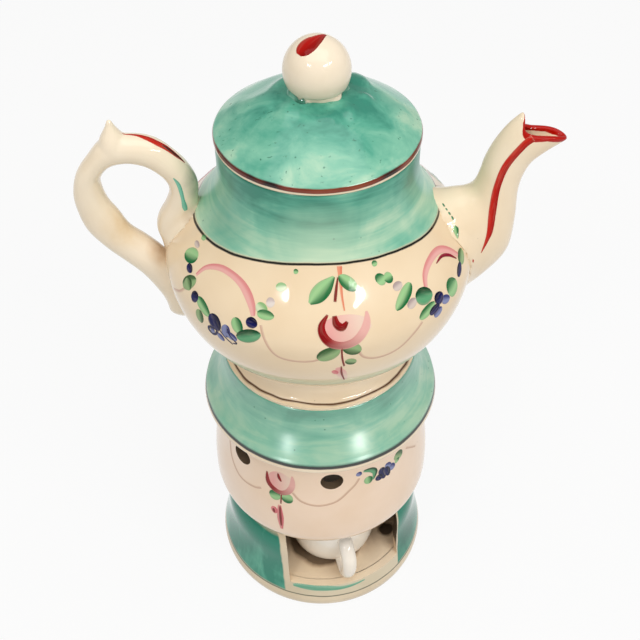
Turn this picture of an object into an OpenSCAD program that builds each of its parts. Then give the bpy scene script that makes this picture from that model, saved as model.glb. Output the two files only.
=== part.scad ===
// Veilleuse: a small porcelain teapot kept warm on a lamp stand, with an oil cup behind the stand's doorway.
// Millimetres. +Z is up, the spout points along +X and the doorway faces -Y, turned a little towards +X.
// The origin is the centre of the stand's flat underside.

/* [Stand] */
// Radius of the flat underside
underside_r = 40; // [37:0.5:41]
// Radius of the base's widest ring
base_r = 42; // [41:0.5:45]
// Height of the base's widest ring
base_rim_z = 4.5; // [4:0.5:6]
// Outer radius of the base's upright wall
drum_r = 38.6; // [37:0.1:40.5]
// Height at which the wall starts to round over to the waist
drum_z = 26; // [22:0.5:30]
// Outer radius of the waist between base and bulb
waist_r = 32; // [30:0.5:34]
// Height of the waist
waist_z = 38.5; // [37.5:0.5:40]
// Outer radius of the bulb
bulb_r = 41.3; // [39:0.1:43]
// Height of the bulb's widest ring
bulb_z = 52.5; // [51:0.5:60]
// Outer radius of the bulb where it meets the lip
bulb_top_r = 38.3; // [37.5:0.1:40]
// Height of the lip's underside
lip_z = 91.5; // [90:0.5:96]
// Height of the rolled lip
lip_h = 4.3; // [3:0.1:6]
// Outer radius of the rolled lip
lip_r = 42.2; // [41:0.1:44]
// Height of the seat for the pot's foot
seat_z = 116; // [112:0.5:122]
// Outer radius of the seat
seat_r = 34; // [33.5:0.1:36]
// Radius of the opening that lets the heat out under the pot
heat_r = 22.6; // [20:0.1:23.5]
// Height of the locating ring above the seat
locator_h = 2.5; // [1.5:0.1:4]
// Thickness of the locating ring
locator_t = 2.8; // [2:0.1:3.5]
// Wall of the stand
stand_wall = 3.2; // [2.5:0.1:4]

/* [Chamber] */
// Height of the chamber floor, which is also the door sill
floor_z = 13; // [11:0.5:15]
// Turn of the doorway from straight ahead
door_turn = 15.5; // [-20:0.5:20]
// Width of the doorway
door_w = 45; // [41:0.5:47]
// Height of the doorway's lintel
door_top_z = 43; // [42.5:0.5:46]
// Radius of the doorway's upper corners
door_round = 8; // [4:0.5:12]
// Diameter of a vent under the lip
vent_d = 8; // [5:0.5:10]
// Height of the vents
vent_z = 82.5; // [78:0.5:85]
// Turn of the first pair of vents from straight ahead
vent_turn = -20.5; // [-40:0.5:0]
// Angle from the middle of a pair to each of its vents
vent_spread = 26; // [15:0.5:40]
// Diameter of the hole in the underside that let the closed foot breathe in the kiln
kiln_hole_d = 4; // [3:0.5:6]

/* [Teapot] */
// Wall of the pot
pot_wall = 3; // [2.4:0.1:3.6]
// Outer radius of the pot's flat bottom
bottom_r = 26.5; // [25:0.5:28]
// Height of the pot's bottom above the seat
bottom_h = 9.5; // [8:0.5:11]
// Radius of the belly
belly_r = 48.5; // [46:0.5:52]
// Height of the belly's widest ring above the seat
belly_h = 42; // [40:0.5:45]
// Outer radius of the neck
neck_r = 29.7; // [28.5:0.1:31]
// Height above the seat at which the neck turns upright
neck_h = 77; // [74:0.5:79]
// Height of the pot's mouth above the seat
mouth_h = 84.4; // [82.5:0.1:87]
// Radius of the foot's flared edge
foot_r = 33.8; // [32:0.1:34]
// Thickness of the foot's edge
foot_edge = 0.9; // [0.6:0.1:1.5]
// Outer radius of the foot where it meets the belly
foot_top_r = 29; // [28.5:0.1:30]
// Play between the foot and the stand's locating ring
foot_play = 0.6; // [0.4:0.1:1]
// Diameter of a strainer hole behind the spout
strainer_d = 3.6; // [2:0.1:4]
// Radius of the ring of strainer holes
strainer_ring_r = 5.5; // [5:0.1:7]
// Number of strainer holes in the ring
strainer_count = 6; // [4:1:7]

/* [Spout] */
// How far the middle of the mouth stands out of the belly
spout_out = 16.6; // [14:0.2:20]
// Height of the middle of the mouth above the belly's widest ring
spout_rise = 44; // [40:0.2:48]
// Half the width of the mouth
spout_mouth_w = 3.6; // [3.2:0.1:5]
// Half the width of the spout's root
spout_root_w = 11.5; // [9:0.5:13]
// Wall of the spout
spout_wall = 1.8; // [1.4:0.1:2.2]
// How deep the mouth is scooped between its back peak and its lip
beak_dip = 2; // [1:0.1:3]

/* [Handle] */
// How far the middle of the handle stands out of the belly
handle_out = 21; // [17:0.2:24]
// Height of the middle of the handle's top above the belly's widest ring
handle_rise = 37.5; // [35:0.1:40]
// Half the width of the handle along its ear
handle_w = 4.5; // [3.6:0.1:5.4]
// Half the width of the handle where it joins the belly
handle_root_w = 5.8; // [5:0.1:7]
// Height of the thumb spur above the middle of the handle's top
spur_h = 9.8; // [7:0.2:12]
// Radius of the thumb spur's foot
spur_r = 5; // [3.5:0.1:5.5]

/* [Lid] */
// Outer radius of the lid
lid_r = 30; // [29.8:0.1:32]
// Height of the lid's upright edge
lid_edge = 2.4; // [1.8:0.1:3.5]
// Height of the dome's crown above the pot's mouth
dome_h = 14.4; // [12:0.2:18]
// Radius of the flat crown under the knob
crown_r = 7; // [6:0.2:8]
// Wall of the lid
lid_wall = 3; // [2.4:0.1:3.6]
// Depth of the flange in the neck
flange_h = 8; // [5:0.5:12]
// Thickness of the flange
flange_t = 2.6; // [2:0.1:3.2]
// Play between the flange and the neck
flange_play = 0.6; // [0.4:0.1:1]
// Radius of the ball knob
knob_r = 9.5; // [8:0.1:11]
// Height of the knob's middle above the dome's crown
knob_rise = 5.8; // [5:0.1:7]
// Radius of the glaze collar that the knob is set in
collar_r = 9; // [8.2:0.1:10]
// Height of the glaze collar
collar_h = 1.4; // [0.8:0.1:2]

/* [Godet] */
// Radius of the cup's rim
cup_r = 18; // [16:0.5:19]
// Height of the cup
cup_h = 23; // [20:0.5:26]
// Radius of the cup's foot
cup_foot_r = 11; // [10:0.5:13]
// Wall of the cup
cup_wall = 2.4; // [2:0.1:2.8]
// Distance from the stand's axis to the middle of the cup, towards the doorway
cup_forward = 15; // [10:0.5:17]
// How far the middle of the strap handle stands out of the cup's rim
strap_out = 6.6; // [5:0.2:9]
// Half the thickness of the strap handle
strap_t = 2.5; // [2:0.1:2.8]
// Half the width of the strap handle
strap_w = 2.9; // [2.4:0.1:3.6]
// Height of the strap handle's underside above the chamber floor
strap_lift = 1; // [0.6:0.1:2]

/* [Wick float] */
// Radius of the cork disc
cork_r = 8; // [6:0.1:8.2]
// Thickness of the cork disc
cork_t = 3.5; // [2.5:0.1:5]
// Radius of the tin disc
tin_r = 5.5; // [4:0.1:7]
// Thickness of the tin disc
tin_t = 0.5; // [0.4:0.1:0.8]
// Radius of the wick
wick_r = 1.1; // [0.8:0.1:1.5]
// Length of wick that stands above the tin disc
wick_up = 5; // [3:0.5:7]

/* [Hidden] */
// Facets that the viewer draws on a round
$fn = 96;
// Straight pieces in one curve of an outline
curve_steps = 10;
// Rings in one stretch of a swept shape, and points in one ring
sweep_steps = 4;
ring_sides = 20;
// A cut reaches this far past the faces that it opens
over = 1;
// Colours of the glaze and of the loose pieces
cream = "#F3E0C4";
teal = "#6DB79B";
cork = "#B98A5A";
tin = "#B9BABA";
cotton = "#EFE6D2";
// How each outline leaves its first point and meets its last, as shares of its own width and height
edge_bow = [[0.7, 0], [0, 0.6]];
wall_bow = [[0.28, 0.21], [0, 0.42]];
shoulder_bow = [[0, 0.68], [0.76, 0.05]];
bulb_low_bow = [[0.39, 0.19], [0, 0.52]];
bulb_high_bow = [[0, 0.4], [0, 0.4]];
bell_bow = [[0.73, 0.295], [0, 0.45]];
belly_low_bow = [[0.55, 0.11], [0, 0.43]];
belly_high_bow = [[0, 0.36], [0, 0.51]];
dome_bow = [[0.2, 0.25], [0.36, 0.1]];
foot_bow = [[0.48, 0.03], [0.04, 0.7]];
cup_bow = [[0.79, 0], [0, 0.65]];
spur_bow = [[0, 0.5], [0.27, 0.4]];
// Radius of the spur's blunt tip
spur_tip_r = 0.8;
// Place of the spur along the handle's top, as a share of handle_out
spur_at = 0.51;
// How far the dome's edge is set in from the lid's edge
dome_set = 0.3;
// How far the glaze collar draws in at its top
collar_set = 1.6;

// Fits that two pieces share
foot_in_r = heat_r + locator_t + foot_play;
neck_in_r = neck_r - pot_wall;
flange_r = neck_in_r - flange_play;
mouth_z = seat_z + mouth_h;
crown_z = mouth_z + dome_h;

// Points on a curve from p to q that leaves and meets them as its bow says
function curve(p, q, bow, n = curve_steps) =
    let (
        span = q - p,
        p1 = p + [bow[0][0] * span[0], bow[0][1] * span[1]],
        p2 = q - [bow[1][0] * span[0], bow[1][1] * span[1]]
    )
    [
        for (i = [0 : n])
            let (t = i / n, s = 1 - t)
            s * s * s * p + 3 * s * s * t * p1 + 3 * s * t * t * p2 + t * t * t * q
    ];
// Points on an arc about c
function arc(c, r, from, to, n = curve_steps) = [
    for (i = [0 : n])
        let (a = from + (to - from) * i / n)
        [c[0] + r * cos(a), c[1] + r * sin(a)]
];
// The list backwards
function backwards(list) = [for (i = [len(list) - 1 : -1 : 0]) list[i]];

// Side of the base from its widest ring up to the waist, moved in by a wall
function base_side(wall) = concat(
    curve([base_r - wall, base_rim_z], [drum_r - wall, drum_z], wall_bow),
    curve([drum_r - wall, drum_z], [waist_r - wall, waist_z], shoulder_bow)
);
// Side of the bulb from the waist up to the lip, moved in by a wall
function bulb_side(wall) = concat(
    curve([waist_r - wall, waist_z], [bulb_r - wall, bulb_z], bulb_low_bow),
    curve([bulb_r - wall, bulb_z], [bulb_top_r - wall, lip_z], bulb_high_bow)
);
// Bell of the skirt from the lip up to the seat, moved in by a wall
function bell_side(wall) = curve([lip_r - wall, lip_z + lip_h], [seat_r - wall, seat_z - wall], bell_bow);
// Side of the pot from its bottom to its neck, moved in by a wall
function belly_side(wall) = concat(
    curve([bottom_r - wall, seat_z + bottom_h + wall], [belly_r - wall, seat_z + belly_h], belly_low_bow),
    curve([belly_r - wall, seat_z + belly_h], [neck_r - wall, seat_z + neck_h], belly_high_bow)
);
// Dome of the lid from its edge up to the crown, moved in by a wall
function dome_side(wall) = curve(
    [lid_r - dome_set - wall, mouth_z + lid_edge],
    [crown_r - wall / 2, crown_z - wall],
    dome_bow
);
// Side of the cup from its foot up to its rim, moved in by a wall
function cup_side(wall) = curve(
    [cup_foot_r - wall, floor_z + wall],
    [cup_r - wall, floor_z + cup_h],
    cup_bow
);

// Point at t between knots i and i+1 of a smooth line through the knots
function through(p, i, t) =
    let (
        last = len(p) - 1,
        a = p[max(i - 1, 0)],
        b = p[i],
        c = p[min(i + 1, last)],
        d = p[min(i + 2, last)]
    )
    0.5 * (2 * b + t * (c - a) + t * t * (2 * a - 5 * b + 4 * c - d) + t * t * t * (3 * b - a - 3 * c + d));
function smooth(p) = concat(
    [for (i = [0 : len(p) - 2], k = [0 : sweep_steps - 1]) through(p, i, k / sweep_steps)],
    [p[len(p) - 1]]
);

// Rings of a round bar along knots [x, z, half thickness, half width]
function bar(knots) =
    let (line = smooth(knots), last = len(line) - 1)
    [
        for (i = [0 : last])
            let (
                step = line[min(i + 1, last)] - line[max(i - 1, 0)],
                middle = [line[i][0], line[i][1]],
                side = line[i][2] * [-step[1], step[0]] / norm([step[0], step[1]])
            )
            concat(middle - side, middle + side, [line[i][3]])
    ];

// Skin over rings in the upright plane of the handle and spout: edge [x, z], far edge [x, z], half width
module skin(rings) {
    last = len(rings) - 1;
    n = ring_sides;
    points = [
        for (ring = rings, k = [0 : n - 1])
            let (
                middle = [ring[0] + ring[2], ring[1] + ring[3]] / 2,
                reach = cos(360 * k / n) * [ring[2] - ring[0], ring[3] - ring[1]] / 2
            )
            [middle[0] + reach[0], ring[4] * sin(360 * k / n), middle[1] + reach[1]]
    ];
    sides = [
        for (i = [0 : last - 1], k = [0 : n - 1])
            let (a = i * n + k, b = i * n + (k + 1) % n)
            each [[a, b, b + n], [a, b + n, a + n]]
    ];
    ends = [
        [for (k = [n - 1 : -1 : 0]) k],
        [for (k = [0 : n - 1]) last * n + k]
    ];
    polyhedron(points, concat(sides, ends));
}

// Whole volume inside the pot's outer face
module pot_solid() {
    rotate_extrude()
        polygon(concat([[0, seat_z + bottom_h]], belly_side(0), [[neck_r, mouth_z], [0, mouth_z]]));
}

// Whole volume inside the lid's outer face
module dome_solid() {
    rotate_extrude()
        polygon(concat([[0, mouth_z], [lid_r, mouth_z]], dome_side(0), [[0, crown_z]]));
}

// Doorway, from the axis outwards
module door_cut() {
    rotate([0, 0, door_turn])
        rotate([90, 0, 0])
            linear_extrude(max(base_r, bulb_r) + over) {
                translate([-door_w / 2, floor_z])
                    square([door_w, door_top_z - door_round - floor_z]);
                translate([-door_w / 2 + door_round, floor_z])
                    square([door_w - 2 * door_round, door_top_z - floor_z]);
                for (side = [-1, 1])
                    translate([side * (door_w / 2 - door_round), door_top_z - door_round])
                        circle(door_round);
            }
}

// Moves a piece of the godet from the axis to its place behind the doorway
module at_godet() {
    rotate([0, 0, door_turn])
        translate([0, -cup_forward, 0])
            children();
}

module stand_base() {
    color(teal)
        difference() {
            rotate_extrude()
                polygon(concat(
                    [[0, 0]],
                    curve([underside_r, 0], [base_r, base_rim_z], edge_bow),
                    base_side(0),
                    [[0, waist_z]]
                ));
            rotate_extrude()
                polygon(concat(
                    [[0, stand_wall], [base_r - stand_wall, stand_wall]],
                    base_side(stand_wall),
                    [[waist_r - stand_wall, waist_z + over], [0, waist_z + over]]
                ));
            door_cut();
            translate([underside_r / 2, 0, -over])
                cylinder(d = kiln_hole_d, h = stand_wall + 2 * over);
        }
}

module stand_floor() {
    color(cream)
        intersection() {
            rotate_extrude()
                polygon(concat([[0, base_rim_z]], base_side(stand_wall), [[0, waist_z]]));
            translate([0, 0, floor_z - stand_wall])
                cylinder(r = base_r, h = stand_wall);
        }
}

module stand_bulb() {
    color(cream)
        difference() {
            rotate_extrude()
                polygon(concat(bulb_side(0), backwards(bulb_side(stand_wall))));
            door_cut();
            for (pair = [0, 180], side = [-1, 1])
                rotate([0, 0, vent_turn + pair + side * vent_spread])
                    translate([0, 0, vent_z])
                        rotate([90, 0, 0])
                            cylinder(d = vent_d, h = max(bulb_r, bulb_top_r) + over);
        }
}

module stand_skirt() {
    roll = lip_h / 2;
    color(teal)
        rotate_extrude()
            polygon(concat(
                [[bulb_top_r - stand_wall, lip_z]],
                arc([lip_r - roll, lip_z + roll], roll, -90, 0),
                bell_side(0),
                [[heat_r + locator_t, seat_z], [heat_r + locator_t, seat_z + locator_h]],
                [[heat_r, seat_z + locator_h], [heat_r, seat_z - stand_wall]],
                backwards(bell_side(stand_wall)),
                [[bulb_top_r - stand_wall, lip_z + lip_h]]
            ));
}

module pot_body() {
    color(cream)
        difference() {
            rotate_extrude()
                polygon(concat(
                    [[0, seat_z + bottom_h]],
                    belly_side(0),
                    [[neck_r, mouth_z], [neck_in_r, mouth_z]],
                    backwards(belly_side(pot_wall)),
                    [[0, seat_z + bottom_h + pot_wall]]
                ));
            translate([0, 0, seat_z + belly_h])
                rotate([0, 90, 0]) {
                    cylinder(d = strainer_d, h = belly_r + over);
                    for (k = [1 : strainer_count])
                        rotate([0, 0, 360 * k / strainer_count])
                            translate([strainer_ring_r, 0, 0])
                                cylinder(d = strainer_d, h = belly_r + over);
                }
        }
}

module pot_foot_ring() {
    color(cream)
        difference() {
            rotate_extrude()
                polygon(concat(
                    [[foot_in_r, seat_z], [foot_r, seat_z]],
                    curve([foot_r, seat_z + foot_edge], [foot_top_r, seat_z + bottom_h], foot_bow),
                    [[foot_top_r, seat_z + belly_h], [foot_in_r, seat_z + belly_h]]
                ));
            pot_solid();
        }
}

// Outline of the spout, ring by ring: front edge and back edge as shares of spout_out and spout_rise, and
// how much of the root's extra width is left
spout_outline = [
    [[-0.87, -0.48], [-1.36, 0.39], 1],
    [[-0.09, -0.37], [-0.54, 0.47], 1],
    [[0.37, -0.21], [-0.26, 0.49], 0.8],
    [[0.70, -0.02], [-0.10, 0.54], 0.52],
    [[0.75, 0.25], [-0.02, 0.64], 0.33],
    [[0.72, 0.52], [0.03, 0.74], 0.2],
    [[0.84, 0.70], [0.15, 0.87], 0.1],
    [[1.08, 0.80], [0.34, 1.0], 0.05],
    [[1.43, 0.90], [0.57, 1.1], 0]
];
// Place of a point that is given in shares of the spout's reach
function on_spout(share) = [belly_r + share[0] * spout_out, seat_z + belly_h + share[1] * spout_rise];
// Rings of the spout, moved in by a wall
function spout_rings(wall) = smooth([
    for (ring = spout_outline)
        let (
            front = on_spout(ring[0]),
            back = on_spout(ring[1]),
            inward = wall * (back - front) / norm(back - front),
            width = spout_mouth_w + ring[2] * (spout_root_w - spout_mouth_w) - wall
        )
        concat(front + inward, back - inward, [width])
]);

module pot_spout() {
    bore = spout_rings(spout_wall);
    last = len(bore) - 1;
    mouth = spout_outline[len(spout_outline) - 1];
    lip = on_spout(mouth[0]);
    chord = on_spout(mouth[1]) - lip;
    dip_r = norm(chord) * norm(chord) / (8 * beak_dip) + beak_dip / 2;
    dip_at = lip + chord / 2 + (dip_r - beak_dip) * [chord[1], -chord[0]] / norm(chord);
    color(cream)
        difference() {
            skin(spout_rings(0));
            skin(concat(bore, [2 * bore[last] - bore[last - 1]]));
            translate([dip_at[0], spout_root_w, dip_at[1]])
                rotate([90, 0, 0])
                    cylinder(r = dip_r, h = 2 * spout_root_w);
            pot_solid();
        }
}

// Outline of the handle, ring by ring, from the scroll on the pot's side over the top and down to the tail:
// edge on the finger hole and outer edge as shares of handle_out and handle_rise, and half the width
handle_outline = [
    [[-0.08, -0.02], [-0.40, -0.03], 0.8 * handle_w],
    [[0.01, 0.07], [-0.40, 0.05], handle_w],
    [[0.09, 0.22], [-0.40, 0.20], 1.16 * handle_w],
    [[0.05, 0.35], [-0.50, 0.35], 1.24 * handle_w],
    [[-0.09, 0.49], [-0.57, 0.53], 1.2 * handle_w],
    [[-0.17, 0.61], [-0.59, 0.67], 1.13 * handle_w],
    [[-0.15, 0.70], [-0.51, 0.81], 1.02 * handle_w],
    [[-0.05, 0.78], [-0.35, 0.94], handle_w],
    [[0.12, 0.85], [-0.07, 1.08], handle_w],
    [[0.35, 0.88], [0.27, 1.12], handle_w],
    [[0.58, 0.85], [0.65, 1.09], 0.96 * handle_w],
    [[0.72, 0.78], [0.92, 0.93], 0.91 * handle_w],
    [[0.79, 0.70], [1.11, 0.78], 0.91 * handle_w],
    [[0.78, 0.60], [1.21, 0.61], 0.93 * handle_w],
    [[0.73, 0.49], [1.22, 0.45], 0.96 * handle_w],
    [[0.62, 0.38], [1.14, 0.22], 0.98 * handle_w],
    [[0.49, 0.22], [0.91, 0.03], 1.02 * handle_w],
    [[0.27, 0.10], [0.66, -0.12], 0.84 * handle_root_w],
    [[0.04, -0.05], [0.42, -0.27], 0.91 * handle_root_w],
    [[-0.21, -0.29], [0.20, -0.49], handle_root_w],
    [[-0.38, -0.48], [0.13, -0.63], handle_root_w],
    [[-0.50, -0.61], [0.11, -0.73], 0.86 * handle_root_w],
    [[-0.60, -0.71], [0.00, -0.80], 0.52 * handle_root_w]
];
// Place of a point that is given in shares of the handle's reach
function on_handle(share) = [-belly_r - share[0] * handle_out, seat_z + belly_h + share[1] * handle_rise];

module pot_handle() {
    spur_foot = on_handle([spur_at, 1]);
    spur_side = curve([spur_r, 0], [spur_tip_r, spur_h], spur_bow);
    rings = [for (ring = handle_outline) concat(on_handle(ring[1]), on_handle(ring[0]), [ring[2]])];
    color(cream)
        difference() {
            union() {
                skin(smooth(rings));
                translate([spur_foot[0], 0, spur_foot[1]])
                    rotate_extrude()
                        polygon(concat([[0, 0]], spur_side, [[0, spur_h]]));
            }
            pot_solid();
        }
}

module lid_dome() {
    color(teal)
        rotate_extrude()
            polygon(concat(
                [[flange_r - flange_t, mouth_z], [lid_r, mouth_z]],
                dome_side(0),
                [[0, crown_z], [0, crown_z - lid_wall]],
                backwards(dome_side(lid_wall)),
                [[flange_r - flange_t, mouth_z + lid_edge]]
            ));
}

module lid_flange() {
    color(cream)
        translate([0, 0, mouth_z - flange_h])
            difference() {
                cylinder(r = flange_r, h = flange_h);
                translate([0, 0, -over])
                    cylinder(r = flange_r - flange_t, h = flange_h + 2 * over);
            }
}

module lid_knob() {
    color(cream)
        difference() {
            union() {
                translate([0, 0, crown_z + knob_rise])
                    sphere(knob_r);
                translate([0, 0, crown_z - over])
                    cylinder(r1 = collar_r, r2 = collar_r - collar_set, h = over + collar_h);
            }
            dome_solid();
        }
}

module godet_cup() {
    color(cream)
        at_godet()
            rotate_extrude()
                polygon(concat(
                    [[0, floor_z], [cup_foot_r, floor_z]],
                    cup_side(0),
                    backwards(cup_side(cup_wall)),
                    [[0, floor_z + cup_wall]]
                ));
}

// Strap handle's knots from the axis of the cup: radius, height, half thickness, half width
strap_knots = [
    [cup_r - cup_wall / 2, floor_z + 0.86 * cup_h, strap_t, strap_w],
    [cup_r + 0.3 * strap_out, floor_z + 0.87 * cup_h, strap_t, strap_w],
    [cup_r + 0.95 * strap_out, floor_z + 0.7 * cup_h, strap_t, strap_w],
    [cup_r + strap_out, floor_z + 0.42 * cup_h, strap_t, strap_w],
    [cup_r + 0.6 * strap_out, floor_z + strap_lift + 1.2 * strap_t, strap_t, strap_w],
    [cup_r - cup_wall, floor_z + strap_lift + strap_t, strap_t, strap_w],
    [cup_foot_r, floor_z + strap_lift + strap_t, strap_t, strap_w]
];

module godet_handle() {
    color(cream)
        at_godet()
            difference() {
                rotate([0, 0, -90])
                    skin(bar(strap_knots));
                rotate_extrude()
                    polygon(concat(
                        [[0, floor_z], [cup_foot_r, floor_z]],
                        cup_side(0),
                        [[0, floor_z + cup_h]]
                    ));
            }
}

// Plain disc with a hole for the wick
module pierced_disc(r, t) {
    difference() {
        cylinder(r = r, h = t);
        translate([0, 0, -over])
            cylinder(r = wick_r, h = t + 2 * over);
    }
}

module float_cork() {
    color(cork)
        at_godet()
            translate([0, 0, floor_z + cup_wall])
                pierced_disc(cork_r, cork_t);
}

module float_disc() {
    color(tin)
        at_godet()
            translate([0, 0, floor_z + cup_wall + cork_t])
                pierced_disc(tin_r, tin_t);
}

module float_wick() {
    color(cotton)
        at_godet()
            translate([0, 0, floor_z + cup_wall])
                cylinder(r = wick_r, h = cork_t + tin_t + wick_up);
}

stand_base();
stand_floor();
stand_bulb();
stand_skirt();
pot_body();
pot_foot_ring();
pot_spout();
pot_handle();
lid_dome();
lid_flange();
lid_knob();
godet_cup();
godet_handle();
float_cork();
float_disc();
float_wick();
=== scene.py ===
# Porcelain tea warmer: turned and drawn porcelain, brushed sea-green glaze and hand-painted flowers
import math

import bpy
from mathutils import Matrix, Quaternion, Vector


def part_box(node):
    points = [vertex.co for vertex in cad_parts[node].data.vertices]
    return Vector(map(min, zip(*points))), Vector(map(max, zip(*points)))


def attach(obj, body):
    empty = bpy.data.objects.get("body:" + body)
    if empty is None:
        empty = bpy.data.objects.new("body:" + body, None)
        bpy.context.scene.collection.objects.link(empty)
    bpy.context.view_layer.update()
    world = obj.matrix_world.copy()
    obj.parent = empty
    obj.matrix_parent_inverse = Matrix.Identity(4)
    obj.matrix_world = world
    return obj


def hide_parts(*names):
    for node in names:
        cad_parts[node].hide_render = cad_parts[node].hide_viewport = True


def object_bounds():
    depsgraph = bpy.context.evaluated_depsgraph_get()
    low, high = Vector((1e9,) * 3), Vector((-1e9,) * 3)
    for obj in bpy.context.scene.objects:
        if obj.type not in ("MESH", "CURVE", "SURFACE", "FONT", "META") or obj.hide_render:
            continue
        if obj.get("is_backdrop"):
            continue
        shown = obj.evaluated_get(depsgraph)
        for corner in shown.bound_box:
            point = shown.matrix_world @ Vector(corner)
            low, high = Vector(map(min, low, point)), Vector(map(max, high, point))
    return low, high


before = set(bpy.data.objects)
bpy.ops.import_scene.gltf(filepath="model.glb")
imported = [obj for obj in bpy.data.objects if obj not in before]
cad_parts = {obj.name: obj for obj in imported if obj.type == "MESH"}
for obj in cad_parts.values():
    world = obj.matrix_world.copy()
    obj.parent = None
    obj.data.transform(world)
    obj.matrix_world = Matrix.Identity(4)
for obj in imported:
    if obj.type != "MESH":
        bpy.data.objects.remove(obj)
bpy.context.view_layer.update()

# Sizes are millimetres; Blender works in metres
MM = 0.001


def within(t):
    """Share kept between 0 and 1."""
    return min(max(t, 0), 1)


def ease(t):
    """Share kept between 0 and 1 that starts and ends gently."""
    t = within(t)
    return t * t * (3 - 2 * t)


def reach(node):
    """Lowest height, highest height and greatest half width of a CAD piece, in millimetres."""
    low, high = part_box(node)
    return low.z / MM, high.z / MM, (high.x - low.x) / 2 / MM


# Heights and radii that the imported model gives
_, waist_z, base_r = reach("stand_base")
_, floor_z, _ = reach("stand_floor")
_, lip_z, bulb_r = reach("stand_bulb")
_, locator_z, lip_r = reach("stand_skirt")
bottom_z, mouth_z, belly_r = reach("pot_body")
seat_z, _, foot_r = reach("pot_foot_ring")
_, crown_z, lid_r = reach("lid_dome")
flange_z, _, flange_r = reach("lid_flange")
_, knob_top_z, knob_r = reach("lid_knob")
cup_z, cup_rim_z, cup_r = reach("godet_cup")
cork_z, cork_top_z, cork_r = reach("float_cork")
_, tin_top_z, tin_r = reach("float_disc")
_, wick_top_z, wick_r = reach("float_wick")
cup_low, cup_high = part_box("godet_cup")
cup_x, cup_y = (cup_low.x + cup_high.x) / 2 / MM, (cup_low.y + cup_high.y) / 2 / MM

# Sizes that the part's source sets and its boxes don't show
underside_r, rim_z, drum_r, drum_z, waist_r = 40, 4.5, 38.6, 26, 32
bulb_z, bulb_top_r, lip_h, seat_r, heat_r, locator_t = 52.5, 38.3, 4.3, 34, 22.6, 2.8
stand_wall, pot_wall, lid_wall, cup_wall, spout_wall = 3.2, 3, 3, 2.4, 1.8
bottom_r, belly_z, neck_r, neck_z, foot_in_r, foot_top_r = 26.5, 158, 29.7, 193, 26, 29
door_turn, door_w, door_top_z, door_round = math.radians(15.5), 45, 43, 8
vent_r, vent_z, vent_turns = 4, 82.5, (-46.5, 5.5, 133.5, 185.5)
strainer_r, strainer_ring_r, strainer_count = 1.8, 5.5, 6
lid_edge, crown_r, flange_t, knob_z, collar_r = 2.4, 7, 2.6, 220.6, 9
cup_foot_r, kiln_hole_r = 11, 2

# Facets round a turned piece
SIDES = 144


def bow(p, q, leave, meet, steps=24):
    """Points of a curve from p to q; leave and meet are the shares of its span that bend its two ends."""
    span = (q[0] - p[0], q[1] - p[1])
    a = (p[0] + leave[0] * span[0], p[1] + leave[1] * span[1])
    b = (q[0] - meet[0] * span[0], q[1] - meet[1] * span[1])
    points = []
    for i in range(steps + 1):
        t = i / steps
        s = 1 - t
        points.append(tuple(
            s ** 3 * p[k] + 3 * s * s * t * a[k] + 3 * s * t * t * b[k] + t ** 3 * q[k] for k in (0, 1)
        ))
    return points


def round_over(middle, radius, start, end, steps=8):
    """Points of an arc about a middle, from one angle in degrees to another."""
    turns = [math.radians(start + (end - start) * i / steps) for i in range(steps + 1)]
    return [(middle[0] + radius * math.cos(a), middle[1] + radius * math.sin(a)) for a in turns]


def rounded_rim(outer_r, inner_r, top_z, radius, steps=5):
    """Points over a rounded rim, from its outer face to its inner face."""
    return [
        *round_over((outer_r - radius, top_z - radius), radius, 0, 90, steps),
        *round_over((inner_r + radius, top_z - radius), radius, 90, 180, steps),
    ]


def through(knots, steps):
    """Smooth line through knots of any number of values, with even steps between two knots."""
    points, last = [], len(knots) - 1
    for i in range(last):
        a, b, c, d = (knots[min(max(k, 0), last)] for k in (i - 1, i, i + 1, i + 2))
        for k in range(steps):
            t = k / steps
            points.append(tuple(
                0.5 * (2 * q + t * (r - p) + t * t * (2 * p - 5 * q + 4 * r - s) + t ** 3 * (3 * q - p - 3 * r + s))
                for p, q, r, s in zip(a, b, c, d)
            ))
    return points + [tuple(knots[last])]


def begin(name):
    """Names the primitive that was just added and opens it for shaping."""
    piece = bpy.context.object
    piece.name = piece.data.name = name
    bpy.ops.object.mode_set(mode="EDIT")
    return piece


def close(piece):
    """Merges doubles, turns the faces outwards and leaves the shaping."""
    bpy.ops.mesh.select_all(action="SELECT")
    bpy.ops.mesh.remove_doubles(threshold=0.002 * MM)
    bpy.ops.mesh.normals_make_consistent(inside=False)
    bpy.ops.object.mode_set(mode="OBJECT")
    return piece


def only(piece):
    """Makes one piece the selected and active one."""
    bpy.ops.object.select_all(action="DESELECT")
    piece.select_set(True)
    bpy.context.view_layer.objects.active = piece


def finish_with(piece, kind, **settings):
    """Adds a modifier with its settings and applies it."""
    only(piece)
    modifier = piece.modifiers.new(kind.title(), kind)
    for key, value in settings.items():
        setattr(modifier, key, value)
    bpy.ops.object.modifier_apply(modifier=modifier.name)


def soften(piece, angle=35):
    """Shades a piece smooth but for edges sharper than an angle."""
    only(piece)
    bpy.ops.object.shade_smooth_by_angle(angle=math.radians(angle))


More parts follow.
